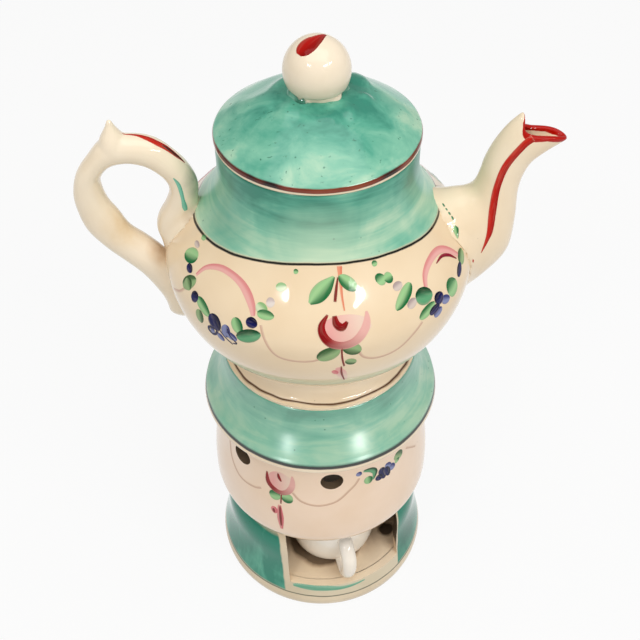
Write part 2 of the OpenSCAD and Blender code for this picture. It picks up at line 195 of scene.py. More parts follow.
def turned(name, outline, hoop=False, at=(0, 0), sides=SIDES):
    """Turns an outline of radius and height about an upright axis, as on a wheel; a hoop joins its two ends."""
    bpy.ops.object.select_all(action="DESELECT")
    bpy.ops.mesh.primitive_circle_add(vertices=sides, radius=outline[0][0] * MM)
    piece = begin(name)
    bpy.ops.transform.translate(value=(at[0] * MM, at[1] * MM, outline[0][1] * MM))
    for (r, z), (next_r, next_z) in zip(outline, outline[1:]):
        bpy.ops.mesh.extrude_edges_move(TRANSFORM_OT_translate={"value": (0, 0, (next_z - z) * MM)})
        bpy.ops.transform.resize(
            value=(next_r / r, next_r / r, 1), center_override=(at[0] * MM, at[1] * MM, next_z * MM)
        )
    bpy.ops.mesh.select_all(action="DESELECT")
    bpy.ops.mesh.select_non_manifold()
    if hoop:
        bpy.ops.mesh.bridge_edge_loops()
    else:
        bpy.ops.mesh.fill_holes(sides=0)
    return close(piece)


def drawn(name, rings, sides=32):
    """Draws a bar out ring by ring in the upright plane of spout and handle; a ring is edge, far edge, half width."""
    bpy.ops.object.select_all(action="DESELECT")
    bpy.ops.mesh.primitive_circle_add(vertices=sides, radius=MM)
    piece = begin(name)
    middle, size, slant = Vector((0, 0, 0)), (1, 1), 0
    for i, (x, z, far_x, far_z, width) in enumerate(rings):
        if i:
            bpy.ops.mesh.extrude_edges_move(TRANSFORM_OT_translate={"value": (0, 0, 0)})
        bpy.ops.transform.rotate(value=-slant, orient_axis="Y", center_override=middle)
        half = math.hypot(far_x - x, far_z - z) / 2
        bpy.ops.transform.resize(value=(half / size[0], width / size[1], 1), center_override=middle)
        slant, size = math.atan2(far_z - z, far_x - x), (half, width)
        bpy.ops.transform.rotate(value=slant, orient_axis="Y", center_override=middle)
        there = Vector(((x + far_x) / 2, 0, (z + far_z) / 2)) * MM
        bpy.ops.transform.translate(value=there - middle)
        middle = there
    bpy.ops.mesh.select_all(action="DESELECT")
    bpy.ops.mesh.select_non_manifold()
    return piece


def cut(piece, *tools):
    """Cuts solids away from a piece and removes the solids."""
    for tool in tools:
        finish_with(piece, "BOOLEAN", object=tool, operation="DIFFERENCE", solver="EXACT")
        bpy.data.objects.remove(tool)


def join(*pieces):
    """Joins pieces into the first."""
    only(pieces[0])
    for piece in pieces:
        piece.select_set(True)
    bpy.ops.object.join()
    return pieces[0]


def peg(radius, start, end, sides=24):
    """Round cutter between two points."""
    start, end = Vector(start) * MM, Vector(end) * MM
    bpy.ops.object.select_all(action="DESELECT")
    bpy.ops.mesh.primitive_cylinder_add(
        vertices=sides, radius=radius * MM, depth=(end - start).length, location=(start + end) / 2,
        rotation=(end - start).to_track_quat("Z", "Y").to_euler(),
    )
    bpy.ops.object.transform_apply()
    return bpy.context.object


def ahead(turn, far, z):
    """Point at a turn in radians from straight ahead towards the spout, in millimetres."""
    return Vector((far * math.sin(turn), -far * math.cos(turn), z))


# Outlines of the turned walls, from below upwards, moved in by a wall
def base_side(wall):
    low = bow((base_r - wall, rim_z), (drum_r - wall, drum_z), (0.28, 0.21), (0, 0.42))
    return low + bow((drum_r - wall, drum_z), (waist_r - wall, waist_z), (0, 0.68), (0.76, 0.05))[1:]


def bulb_side(wall):
    low = bow((waist_r - wall, waist_z), (bulb_r - wall, bulb_z), (0.39, 0.19), (0, 0.52))
    return low + bow((bulb_r - wall, bulb_z), (bulb_top_r - wall, lip_z), (0, 0.4), (0, 0.4))[1:]


def bell_side(wall):
    return bow((lip_r - wall, lip_z + lip_h), (seat_r - wall, seat_z - wall), (0.73, 0.295), (0, 0.45))


def belly_side(wall):
    low = bow((bottom_r - wall, bottom_z + wall), (belly_r - wall, belly_z), (0.55, 0.11), (0, 0.43), 32)
    return low + bow((belly_r - wall, belly_z), (neck_r - wall, neck_z), (0, 0.36), (0, 0.51), 32)[1:]


def dome_side(wall):
    return bow(
        (lid_r - 0.3 - wall, mouth_z + lid_edge), (crown_r - wall / 2, crown_z - wall), (0.2, 0.25), (0.36, 0.1), 30
    )


def cup_side(wall):
    return bow((cup_foot_r - wall, cup_z + wall), (cup_r - wall, cup_rim_z), (0.79, 0), (0, 0.65))


# Radius of the small disc that closes a turned piece on its axis
POLE_R = 0.3


def door_tool():
    """Cutter for the doorway: a block with rounded upper corners that reaches out from the axis."""
    bpy.ops.object.select_all(action="DESELECT")
    bpy.ops.mesh.primitive_cube_add(size=1)
    tool = begin("door_tool")
    far = base_r + 4
    bpy.ops.transform.resize(value=(door_w * MM, far * MM, (door_top_z - floor_z) * MM))
    bpy.ops.transform.translate(value=(0, -far / 2 * MM, (door_top_z + floor_z) / 2 * MM))
    bpy.ops.mesh.select_all(action="DESELECT")
    bpy.ops.object.mode_set(mode="OBJECT")
    for edge in tool.data.edges:
        ends = [tool.data.vertices[v].co for v in edge.vertices]
        edge.select = all(p.z > (door_top_z - 1) * MM for p in ends) and abs(ends[0].x - ends[1].x) < MM
    bpy.ops.object.mode_set(mode="EDIT")
    bpy.ops.mesh.bevel(offset=door_round * MM, segments=10, affect="EDGES")
    bpy.ops.mesh.select_all(action="SELECT")
    bpy.ops.transform.rotate(value=-door_turn, orient_axis="Z", center_override=(0, 0, 0))
    return close(tool)


# Stand: base with its doorway, floor, bulb with vents, and the skirt that carries the pot
base = turned("base_wall", [
    (POLE_R, 0), (underside_r - 1, 0), (underside_r, 0.05),
    *bow((underside_r, 0.05), (base_r, rim_z), (0.7, 0), (0, 0.6), 10)[1:], *base_side(0)[1:],
    (waist_r - stand_wall, waist_z), *base_side(stand_wall)[-2::-1], (POLE_R, stand_wall),
])
cut(base, door_tool(), peg(kiln_hole_r, (underside_r / 2, 0, -1), (underside_r / 2, 0, stand_wall + 1)))

chamber_r = base_r - stand_wall - 1.6
floor = turned("chamber_floor", [
    (POLE_R, floor_z - stand_wall), (chamber_r, floor_z - stand_wall), (chamber_r, floor_z), (POLE_R, floor_z),
])

bulb = turned("lamp_bulb", [*bulb_side(0), *bulb_side(stand_wall)[::-1]], hoop=True)
vent_from, vent_to = 20, 60
cut(bulb, door_tool(), *(
    peg(vent_r, ahead(math.radians(t), vent_from, vent_z), ahead(math.radians(t), vent_to, vent_z), 40)
    for t in vent_turns
))

roll = lip_h / 2
skirt = turned("pot_stand_skirt", [
    (bulb_top_r - stand_wall, lip_z), (lip_r - roll, lip_z),
    *round_over((lip_r - roll, lip_z + roll), roll, -90, 0)[1:], *bell_side(0)[1:-1],
    *round_over((seat_r - 1.2, seat_z - 1.2), 1.2, 20, 90),
    (heat_r + locator_t, seat_z), *rounded_rim(heat_r + locator_t, heat_r, locator_z, 0.8),
    (heat_r, seat_z - stand_wall), *bell_side(stand_wall)[::-1], (bulb_top_r - stand_wall, lip_z + lip_h),
], hoop=True)

# Teapot body with its foot
pot = turned("teapot_body", [
    (POLE_R, bottom_z), *belly_side(0), (neck_r, mouth_z - 1), *rounded_rim(neck_r, neck_r - pot_wall, mouth_z, 1),
    *belly_side(pot_wall)[::-1], (POLE_R, bottom_z + pot_wall),
])
sieve_from, sieve_to = belly_r - 8, belly_r + 4
sieve_turns = [2 * math.pi * k / strainer_count for k in range(strainer_count)]
sieve = [(0, belly_z)] + [
    (strainer_ring_r * math.sin(a), belly_z + strainer_ring_r * math.cos(a)) for a in sieve_turns
]
cut(pot, join(*(peg(strainer_r, (sieve_from, y, z), (sieve_to, y, z), 16) for y, z in sieve)))

foot = turned("teapot_foot", [
    (foot_in_r, seat_z + 0.4), (foot_in_r + 0.4, seat_z), (foot_r - 0.5, seat_z),
    *round_over((foot_r - 0.5, seat_z + 0.5), 0.5, -90, 0, 4)[1:],
    *bow((foot_r, seat_z + 0.9), (foot_top_r, bottom_z - 0.6), (0.48, 0.03), (0.04, 0.7), 16),
    *bow((foot_top_r, bottom_z - 0.6), (foot_top_r + 3.4, bottom_z + 1.6), (0.05, 0.6), (0.7, 0.1), 8)[1:],
    (foot_in_r, bottom_z + 1.2),
], hoop=True)


def pot_gap(p):
    """How far a point lies outside the pot's outer face, and that face's own outward direction there."""
    r, z = math.hypot(p.x, p.y) / MM, p.z / MM
    best, way = 1e9, (1, 0)
    for (r0, z0), (r1, z1) in zip(pot_face, pot_face[1:]):
        dr, dz = r1 - r0, z1 - z0
        t = within(((r - r0) * dr + (z - z0) * dz) / (dr * dr + dz * dz))
        away = (r - r0 - t * dr, z - z0 - t * dz)
        gap = math.hypot(*away)
        if gap < abs(best):
            side = away[0] * dz - away[1] * dr
            length = math.hypot(dr, dz)
            best, way = math.copysign(gap, side), (dz / length, -dr / length)
    level = Vector((p.x, p.y, 0)).normalized()
    return best, Vector((level.x * way[0], level.y * way[0], way[1]))


pot_face = [*belly_side(0), (neck_r, mouth_z)]
# Depths inside the pot's wall at which a weld's flare has gone and at which the welded piece ends
fade, weld_depth = 2.5, 1.4
# Share of the flare that a weld lacks on top, and the least share of a face's direction along the pot that flares
top_loss, least_side = 0.8, 0.15


def weld(piece, fillet, rings):
    """Flares a drawn piece's outer skin into the pot's side, least on top, and cuts it off inside the wall."""
    spine = [Vector(((x + far_x) / 2, 0, (z + far_z) / 2)) * MM for x, z, far_x, far_z, _ in rings]
    moves = []
    for v in piece.data.vertices:
        gap, out = pot_gap(v.co)
        side = v.normal - out * v.normal.dot(out)
        middle = min(spine, key=lambda m: (m - v.co).length_squared)
        if -fade < gap < fillet and side.length > least_side and v.normal.dot(v.co - middle) > 0:
            t = 1 - gap / fillet if gap > 0 else 1 + gap / fade
            flare = fillet * (1 - top_loss * max(side.normalized().z, 0))
            moves.append((v, side.normalized() * flare * (1 - math.sqrt(1 - t * t)) * MM))
    for v, move in moves:
        v.co += move
    inner = [
        (POLE_R, bottom_z + weld_depth), *belly_side(weld_depth), (neck_r - weld_depth, mouth_z), (POLE_R, mouth_z),
    ]
    cut(piece, turned("pot_core", inner, sides=96))


# Spout: front edge and back edge as shares of its reach, and how much of the root's extra width is left
spout_out, spout_rise, spout_mouth_w, spout_root_w = 16.6, 44, 3.6, 11.5
spout_outline = [
    (-0.87, -0.48, -1.36, 0.39, 1), (-0.09, -0.37, -0.54, 0.47, 1), (0.37, -0.21, -0.26, 0.49, 0.8),
    (0.70, -0.02, -0.10, 0.54, 0.52), (0.75, 0.25, -0.02, 0.64, 0.33), (0.72, 0.52, 0.03, 0.74, 0.2),
    (0.84, 0.70, 0.15, 0.87, 0.1), (1.08, 0.80, 0.34, 1.0, 0.05), (1.43, 0.90, 0.57, 1.1, 0),
]


def spout_rings(wall):
    rings = []
    for x, z, far_x, far_z, share in through(spout_outline, 5):
        front = Vector((belly_r + x * spout_out, belly_z + z * spout_rise))
        back = Vector((belly_r + far_x * spout_out, belly_z + far_z * spout_rise))
        inward = wall * (back - front).normalized()
        width = spout_mouth_w + share * (spout_root_w - spout_mouth_w) - wall
        rings.append((*(front + inward), *(back - inward), width))
    return rings


outside, bore = spout_rings(0), spout_rings(spout_wall)
lip_front, lip_back = Vector((outside[-1][0], 0, outside[-1][1])), Vector((outside[-1][2], 0, outside[-1][3]))
chord = lip_back - lip_front
pour = Vector((chord.z, 0, -chord.x)).normalized()
rim_swell = 0.4
swell = [rim_swell * pour.x, rim_swell * pour.z] * 2 + [0]
edge = [o + (b - o) / 2 + more for o, b, more in zip(outside[-1], bore[-1], swell)]
spout = drawn("teapot_spout", [*outside, edge, *bore[::-1]])
bpy.ops.mesh.bridge_edge_loops()
close(spout)
finish_with(spout, "SUBSURF", levels=1, render_levels=1)
# Bill: the rim dips behind the pouring lip and rises at the back to a peak, which is flat, smooth and bare of red
bill_dip, bill_reach, dip_lean = 4, 11, 2.1
flat_from, smooth_from, smooth_to, bare_from, bare_depth = 0.8, 0.75, 0.9, 0.93, 2.5


def over_bill(v):
    """Share of the way from the pouring lip to the peak at a vertex, and how far it stands past the rim's plane."""
    from_lip = v.co / MM - lip_front
    return within(from_lip.dot(chord) / chord.length_squared), from_lip.dot(pour)


def dip_at(t):
    """Dip of the spout's rim at a share of the way from its pouring lip to its peak."""
    return bill_dip * math.sin(math.pi * t ** dip_lean) * (1 - ease((t - flat_from) / (1 - flat_from)))


peak = spout.vertex_groups.new(name="peak")
for v in spout.data.vertices:
    t, past = over_bill(v)
    near = within(1 + past / bill_reach) ** 2
    if near:
        v.co -= pour * dip_at(t) * near * MM
        peak.add([v.index], within((t - smooth_from) / (smooth_to - smooth_from)) * near, "REPLACE")
finish_with(spout, "SMOOTH", factor=0.5, iterations=16, vertex_group="peak")
weld(spout, 3.5, outside)
rim_depth = spout.data.attributes.new("rim_depth", "FLOAT", "POINT").data
for v, depth in zip(spout.data.vertices, rim_depth):
    t, past = over_bill(v)
    depth.value = -dip_at(t) - past + bare_depth * within((t - bare_from) / (1 - bare_from))

# Handle: edge on the finger hole and outer edge as shares of its reach, and half the width
handle_out, handle_rise = 21, 37.5
handle_outline = [
    (-0.08, -0.02, -0.40, -0.03, 3.6), (0.01, 0.07, -0.40, 0.05, 4.5), (0.09, 0.22, -0.40, 0.20, 5.2),
    (0.05, 0.35, -0.50, 0.35, 5.6), (-0.09, 0.49, -0.57, 0.53, 5.4), (-0.17, 0.61, -0.59, 0.67, 5.1),
    (-0.15, 0.70, -0.51, 0.81, 4.6), (-0.05, 0.78, -0.35, 0.94, 4.5), (0.12, 0.85, -0.07, 1.08, 4.5),
    (0.35, 0.88, 0.27, 1.12, 4.5), (0.58, 0.85, 0.65, 1.09, 4.3), (0.72, 0.78, 0.92, 0.93, 4.1),
    (0.79, 0.70, 1.11, 0.78, 4.1), (0.78, 0.60, 1.21, 0.61, 4.2), (0.73, 0.49, 1.22, 0.45, 4.3),
    (0.62, 0.38, 1.14, 0.22, 4.4), (0.49, 0.22, 0.91, 0.03, 4.6), (0.27, 0.10, 0.66, -0.12, 4.9),
    (0.04, -0.05, 0.42, -0.27, 5.3), (-0.21, -0.29, 0.20, -0.49, 5.8), (-0.38, -0.48, 0.13, -0.63, 5.8),
    (-0.50, -0.61, 0.11, -0.73, 5.0), (-0.60, -0.71, 0.00, -0.80, 3.0),
]
handle_rings = [
    (-belly_r - far_x * handle_out, belly_z + far_z * handle_rise,
     -belly_r - x * handle_out, belly_z + z * handle_rise, w)
    for x, z, far_x, far_z, w in through(handle_outline, 4)
]
handle = drawn("teapot_handle", handle_rings)
bpy.ops.mesh.fill_holes(sides=0)
close(handle)
spur_x, spur_z, spur_h, spur_r, spur_tip_r = -belly_r - 0.51 * handle_out, belly_z + handle_rise, 9.8, 4.4, 0.8
spur_side = bow((spur_r, 0), (spur_tip_r, spur_h - 0.4), (0, 0.5), (0.27, 0.4))
spur = turned("thumb_spur", [
    (POLE_R, spur_z - 1), *((r, spur_z + z) for r, z in spur_side), (POLE_R, spur_z + spur_h),
], at=(spur_x, 0), sides=32)
join(handle, spur)
finish_with(handle, "REMESH", mode="VOXEL", voxel_size=0.45 * MM)
finish_with(handle, "SMOOTH", factor=0.5, iterations=8)
weld(handle, 2.5, handle_rings)

# Lid with its flange and ball knob
lid_round = 0.6
lid = turned("lid_dome_shell", [
    (flange_r - flange_t, mouth_z), (lid_r - lid_round, mouth_z),
    *round_over((lid_r - lid_round, mouth_z + lid_round), lid_round, -90, 0, 4)[1:],
    (lid_r, mouth_z + lid_edge - lid_round), *dome_side(0), (POLE_R, crown_z + 0.2), (POLE_R, crown_z - lid_wall),
    *dome_side(lid_wall)[::-1], (flange_r - flange_t, mouth_z + lid_edge),
], hoop=True)
# Lumps and one dent where the lid's glaze gathered or ran off: place, width and height
lid_lumps = (
    (11, 8, 5.5, 2.6), (-10, 6, 5, 0.8), (13.5, -2, 3, 0.9), (9, -9, 3.5, 0.6), (-8, -9, 4.5, 1), (-16, 9, 9, -0.9),
    (3, -12.5, 4, 0.7),
)
for x, y, wide, high in lid_lumps:
    for v in lid.data.vertices:
        near = 1 - math.hypot(v.co.x / MM - x, v.co.y / MM - y) / wide
        if near > 0 and v.co.z / MM > mouth_z + lid_edge and v.normal.z > 0:
            v.co += v.normal * high * ease(near) * MM
flange = turned("lid_seat_flange", [
    (flange_r - flange_t, mouth_z), *round_over((flange_r - flange_t + 1, flange_z + 1), 1, 180, 270, 5),
    *round_over((flange_r - 1, flange_z + 1), 1, 270, 360, 5), (flange_r, mouth_z),
], hoop=True)
collar_h = 1.2
knob_start = math.degrees(math.asin((crown_z + collar_h - knob_z) / knob_r))
knob = turned("lid_ball_knob", [
    (POLE_R, crown_z - 1), (collar_r, crown_z - 1), (collar_r - 0.3, crown_z + 0.1), (collar_r - 0.9, crown_z + 0.8),
    *round_over((0, knob_z), knob_r, knob_start, 89, 36), (POLE_R, knob_top_z),
], sides=96)
# Hand-smeared neck of the knob: pressed in by fingers, most at its foot; a wave is depth, count and start
smear_top, smear_h, smear_r, smear_in = 1.6, 2.6, 4, 0.1
smear_waves = ((0.1, 2, 1), (0.07, 5, 0), (0.04, 9, 2))
for v in knob.data.vertices:
    low = (crown_z + smear_top - v.co.z / MM) / smear_h
    if low > 0 and math.hypot(v.co.x, v.co.y) / MM > smear_r:
        turn = math.atan2(v.co.y, v.co.x)
        press = sum(deep * math.sin(count * turn + start) for deep, count, start in smear_waves) - smear_in
        v.co.x, v.co.y = v.co.x * (1 + press * low), v.co.y * (1 + press * low)

# Oil cup with its strap, and the cork float that carries the wick
cup = turned("oil_cup", [
    (POLE_R, cup_z), (cup_foot_r - 0.8, cup_z), *cup_side(0)[:-1],
    *rounded_rim(cup_r, cup_r - cup_wall, cup_rim_z, 0.9, 4),
    *cup_side(cup_wall)[-3::-1], (POLE_R, cup_z + cup_wall),
], at=(cup_x, cup_y), sides=96)
cup_h, strap_out, strap_t, strap_w, strap_lift = cup_rim_z - cup_z, 6.6, 2.5, 2.9, 1
strap_line = through([
    (cup_r - cup_wall / 2, cup_z + 0.86 * cup_h), (cup_r + 0.3 * strap_out, cup_z + 0.87 * cup_h),
    (cup_r + 0.95 * strap_out, cup_z + 0.7 * cup_h), (cup_r + strap_out, cup_z + 0.42 * cup_h),
    (cup_r + 0.6 * strap_out, cup_z + strap_lift + 1.2 * strap_t), (cup_r - cup_wall, cup_z + strap_lift + strap_t),
    (cup_foot_r, cup_z + strap_lift + strap_t),
], 6)
strap_rings = []
for i, (r, z) in enumerate(strap_line):
    a, b = strap_line[max(i - 1, 0)], strap_line[min(i + 1, len(strap_line) - 1)]
    along = Vector((b[0] - a[0], b[1] - a[1])).normalized() * strap_t
    strap_rings.append((r + along.y, z - along.x, r - along.y, z + along.x, strap_w))
strap = drawn("oil_cup_strap", strap_rings, sides=24)
bpy.ops.mesh.fill_holes(sides=0)
bpy.ops.mesh.select_all(action="SELECT")
bpy.ops.transform.rotate(value=math.radians(90) - door_turn, orient_axis="Z", center_override=(0, 0, 0))
bpy.ops.transform.translate(value=(cup_x * MM, cup_y * MM, 0))
close(strap)
finish_with(strap, "SUBSURF", levels=1, render_levels=1)
cut(strap, turned("cup_core", [
    (POLE_R, cup_z - 1), (cup_foot_r - 1, cup_z - 1), *cup_side(1), (POLE_R, cup_rim_z),
], at=(cup_x, cup_y), sides=64))

cork = turned("cork_float", [
    (wick_r, cork_z + 0.2), (wick_r + 0.3, cork_z), *round_over((cork_r - 0.5, cork_z + 0.5), 0.5, -90, 0, 4),
    *round_over((cork_r - 0.5, cork_top_z - 0.5), 0.5, 0, 90, 4), (wick_r, cork_top_z),
], hoop=True, at=(cup_x, cup_y), sides=64)
tin = turned("tin_wick_plate", [
    (wick_r, cork_top_z), (tin_r - 0.1, cork_top_z), (tin_r, cork_top_z + 0.15), (tin_r - 0.15, tin_top_z - 0.05),
    (tin_r - 0.9, tin_top_z - 0.2), (wick_r + 1.3, tin_top_z - 0.2), (wick_r + 0.5, tin_top_z), (wick_r, tin_top_z),
], hoop=True, at=(cup_x, cup_y), sides=64)
twists = 24
braided = [
    (wick_r * (0.94 + 0.06 * math.cos(1.6 * k)), cork_z + 0.4 + (wick_top_z - cork_z - 1.2) * k / twists)
    for k in range(twists + 1)
]
wick = turned("cotton_wick", [
    (POLE_R, cork_z), (wick_r, cork_z), *braided, (wick_r * 0.7, wick_top_z - 0.3), (POLE_R, wick_top_z),
], at=(cup_x, cup_y), sides=20)


def linear(colour):
    """Linear colour of an sRGB hex value."""
    parts = [int(colour[i:i + 2], 16) / 255 for i in (1, 3, 5)]
    return tuple(c / 12.92 if c <= 0.04045 else ((c + 0.055) / 1.055) ** 2.4 for c in parts) + (1,)


def add(tree, kind, inputs=(), stops=(), out=0, **settings):
    """Adds a node with its settings, colour stops, values and links; gives one of its outputs, or all for None.

    The inputs come by name or number, or in their own order."""
    n = tree.nodes.new("ShaderNode" + kind)
    for key, value in settings.items():
        setattr(n, key, value)
    for i, (at, colour) in enumerate(stops):
        stop = n.color_ramp.elements[i] if i < 2 else n.color_ramp.elements.new(at)
        stop.position, stop.color = at, linear(colour)
    for key, value in inputs.items() if isinstance(inputs, dict) else enumerate(inputs):
        if isinstance(value, bpy.types.NodeSocket):
            tree.links.new(value, n.inputs[key])
        elif isinstance(value, str) and n.inputs[key].type == "RGBA":
            n.inputs[key].default_value = linear(value)
        else:
            n.inputs[key].default_value = value
    return n.outputs if out is None else n.outputs[out]


def open_glaze(name):
    """Starts a material; gives its tree, the place on the piece in millimetres and that place's x, y and z."""
    material = bpy.data.materials.new(name)
    material.use_nodes = True
    tree = material.node_tree
    tree.nodes.clear()
    place = add(tree, "VectorMath", {0: add(tree, "TexCoord", out="Object"), "Scale": 1 / MM}, operation="SCALE")
    parts = add(tree, "SeparateXYZ", (place,), out=None)
    return material, tree, place, parts


# Roughness and index of refraction of a clear glaze, which is glass
GLOSS, GLASS_IOR = 0.08, 1.5


def fire(tree, place, colour, gloss=GLOSS, wave=0.02, wave_mm=7, **settings):
    """Ends a material: a coat whose face waves a little, as a dipped glaze does; the wave is in millimetres."""
    swell = add(tree, "TexNoise", {"Vector": place, "Scale": 1 / wave_mm, "Detail": 1.5})
    bump = add(tree, "Bump", {"Height": swell, "Distance": wave * MM, "Strength": 1.0})
    coat = add(tree, "BsdfPrincipled", {
        "Base Color": colour, "Roughness": gloss, "IOR": GLASS_IOR, "Normal": bump, **settings
    })
    add(tree, "OutputMaterial", (coat,), out=None)


def near_spot(tree, place, spot, wide, inner, most):
    """How strong a round spot on a piece is: at its most within an inner radius, and nothing past a wide one."""
    far = add(tree, "VectorMath", (place, spot), operation="DISTANCE", out="Value")
    return add(tree, "MapRange", (far, wide, inner, 0, most))


# Bare cream glaze, where a brush mark thins out
BARE = "#EBD5B8"


def cream_of(tree, place, deep="#F3DCBA", pale="#FAE7CA"):
    """Cream porcelain under clear glaze: nearly even, with faint warm clouds and a few brown iron specks."""
    cloud = add(tree, "TexNoise", {"Vector": place, "Scale": 1 / 22, "Detail": 3})
    body = add(tree, "ValToRGB", (cloud,), [(0.3, deep), (0.7, pale)])
    grit = add(tree, "TexVoronoi", {"Vector": place, "Scale": 1 / 9})
    speck = add(tree, "MapRange", (grit, 0.018, 0.03, 0.55, 0))
    return add(tree, "Mix", {0: speck, 6: body, 7: "#9A7B55"}, data_type="RGBA", out=2)


def teal_of(tree, place, stretch, pool_and_shade=None, calm=0.0, fleck=False):
    """Sea-green glaze laid on with a broad brush: streaks along the stroke, pale runs, dark pools and a few specks."""
    along = add(tree, "VectorMath", (place, stretch), operation="MULTIPLY")
    streak = add(tree, "TexNoise", {"Vector": along, "Scale": 1, "Detail": 5, "Roughness": 0.6, "Distortion": 0.5})
    cloud = add(tree, "TexNoise", {"Vector": place, "Scale": 1 / 16, "Detail": 3, "Distortion": 0.8})
    blend = add(tree, "Mix", {0: 0.5, 2: streak, 3: cloud})
    # Shift by height: partly glaze pooling, partly painted shade and sheen
    if pool_and_shade:
        blend = add(tree, "Math", (blend, pool_and_shade))
    wash = add(tree, "ValToRGB", (blend,), [
        (0.28, "#378A74"), (0.7, "#BCDCBC"), (0.4, "#58A98F"), (0.54, "#82C3A6"),
    ])
    if calm:
        wash = add(tree, "Mix", {0: calm, 6: wash, 7: "#8FC2A6"}, data_type="RGBA", out=2)
    grit = add(tree, "TexVoronoi", {"Vector": place, "Scale": 1 / 5})
    speck = add(tree, "MapRange", (grit, 0.04, 0.07, 0.7, 0))
    if fleck:
        drag = add(tree, "VectorMath", (place, (0.5, 0.9, 0.9)), operation="MULTIPLY")
        hairs = add(tree, "TexNoise", {"Vector": drag, "Scale": 1, "Detail": 2, "Distortion": 0.6})
        dash = add(tree, "MapRange", (hairs, 0.68, 0.74, 0, 0.75))
        speck = add(tree, "Math", (speck, dash), operation="MAXIMUM")
    return add(tree, "Mix", {0: speck, 6: wash, 7: "#2F6E58"}, data_type="RGBA", out=2)


def dipped(name, *cream):
    """Material of porcelain that was dipped in clear glaze and not painted."""
    material, tree, place, _ = open_glaze(name)
    fire(tree, place, cream_of(tree, place, *cream))
    return material


# Porcelain under a clear glaze, dipped and left cream: bright, wet gloss with soft uneven reflections
plain = dipped("cream_glazed_porcelain")
# Porcelain of the oil cup: the same glaze over a whiter body; the extra whiteness is partly painted light against the
# chamber's shade
white = dipped("white_glazed_porcelain", "#FBEEDC", "#FFF7EA")
# Porcelain of the stand: the same glaze over a body that fired a little pinker
rosy = dipped("rosy_glazed_porcelain", "#F6D8BA", "#FDE3CB")

# How far the painter's hand strayed in height and beside the doorway
HAND_HIGH, HAND_WIDE = 0.9, 2.4


def banded(
    name, bands, stretch, rise=None, pool_and_shade=None, door=False, calm=0.0, gloss=GLOSS, dull=0.0, fleck=False, shade_and_sheen_spots=(),
    cream=(), **settings
):
    """Cream glaze with painted bands by height; a band is lower edge, upper edge, colour and edge softness.

    The bands rise towards the front by one length and towards the spout by a share. The sea-green is streaked along a
    stretch, duller than the cream by a step, evened out by a share, darker or paler from one height to another, partly
    as glaze pooling and partly as painted shade and sheen, darker or paler on some spots of painted shade and sheen,
    and may have flecks. A doorway has a bare jamb and a pale sill."""
    material, tree, place, (x, y, z) = open_glaze(name)
    deep = add(tree, "MapRange", (z, *pool_and_shade)) if pool_and_shade else None
    hand = add(tree, "TexNoise", {"Vector": place, "Scale": 1 / 14, "Detail": 2})
    height = add(tree, "Math", (hand, HAND_HIGH, z), operation="MULTIPLY_ADD")
    mean = HAND_HIGH / 2
    if rise:
        yy = add(tree, "Math", (y, y), operation="MULTIPLY")
        rr = add(tree, "Math", (x, x, yy), operation="MULTIPLY_ADD")
        sign = add(tree, "Math", (y,), operation="SIGN")
        back = add(tree, "Math", (yy, sign), operation="MULTIPLY")
        facing = add(tree, "Math", (back, rr), operation="DIVIDE")
        height = add(tree, "Math", (facing, rise[0], height), operation="MULTIPLY_ADD")
        height = add(tree, "Math", (x, -rise[1], height), operation="MULTIPLY_ADD")
    colour = cream_of(tree, place, *cream)
    for low, high, paint, soft in bands:
        wet = add(tree, "MapRange", (height, low + mean - soft, low + mean + soft))
        dry = add(tree, "MapRange", (height, high + mean - soft, high + mean + soft))
        cover = add(tree, "Math", (wet, dry), operation="SUBTRACT")
        if door and paint == "teal":
            across = (math.cos(door_turn), math.sin(door_turn), 0)
            sideways = add(tree, "VectorMath", (place, across), operation="DOT_PRODUCT", out="Value")
            edge = add(tree, "Math", (hand, HAND_WIDE, sideways), operation="MULTIPLY_ADD")
            edge = add(tree, "Math", (edge, 0.4), operation="SUBTRACT")
            past = add(tree, "Math", (edge,), operation="ABSOLUTE")
            front = add(tree, "MapRange", (y, -8, -12))
            jamb = add(tree, "MapRange", (past, door_w / 2 + 1.1, door_w / 2 + 1.6, 1, 0))
            bare = add(tree, "Math", (front, jamb), operation="MULTIPLY")
            kept = add(tree, "MapRange", (z, 12, 13.4, 0.08, 0))
            gone = add(tree, "Math", (bare, -1, 1), operation="MULTIPLY_ADD")
            left = add(tree, "Math", (bare, kept, gone), operation="MULTIPLY_ADD")
            cover = add(tree, "Math", (cover, left), operation="MULTIPLY")
        if paint == "teal":
            paint = teal_of(tree, place, stretch, deep, calm, fleck)
            for spot, wide, share, tint in shade_and_sheen_spots:
                painted_spot = near_spot(tree, place, spot, wide, wide * 0.2, share)
                paint = add(tree, "Mix", {0: painted_spot, 6: paint, 7: tint}, data_type="RGBA", out=2)
            if dull:
                gloss = add(tree, "Math", (cover, dull, gloss), operation="MULTIPLY_ADD")
        elif paint == "rim":
            paint = add(tree, "ValToRGB", (hand,), [(0.35, "#22100A"), (0.65, "#8A3A1C"), (0.45, "#6A2412")])
        colour = add(tree, "Mix", {0: cover, 6: colour, 7: paint}, data_type="RGBA", out=2)
    fire(tree, place, colour, gloss, **settings)
    return material
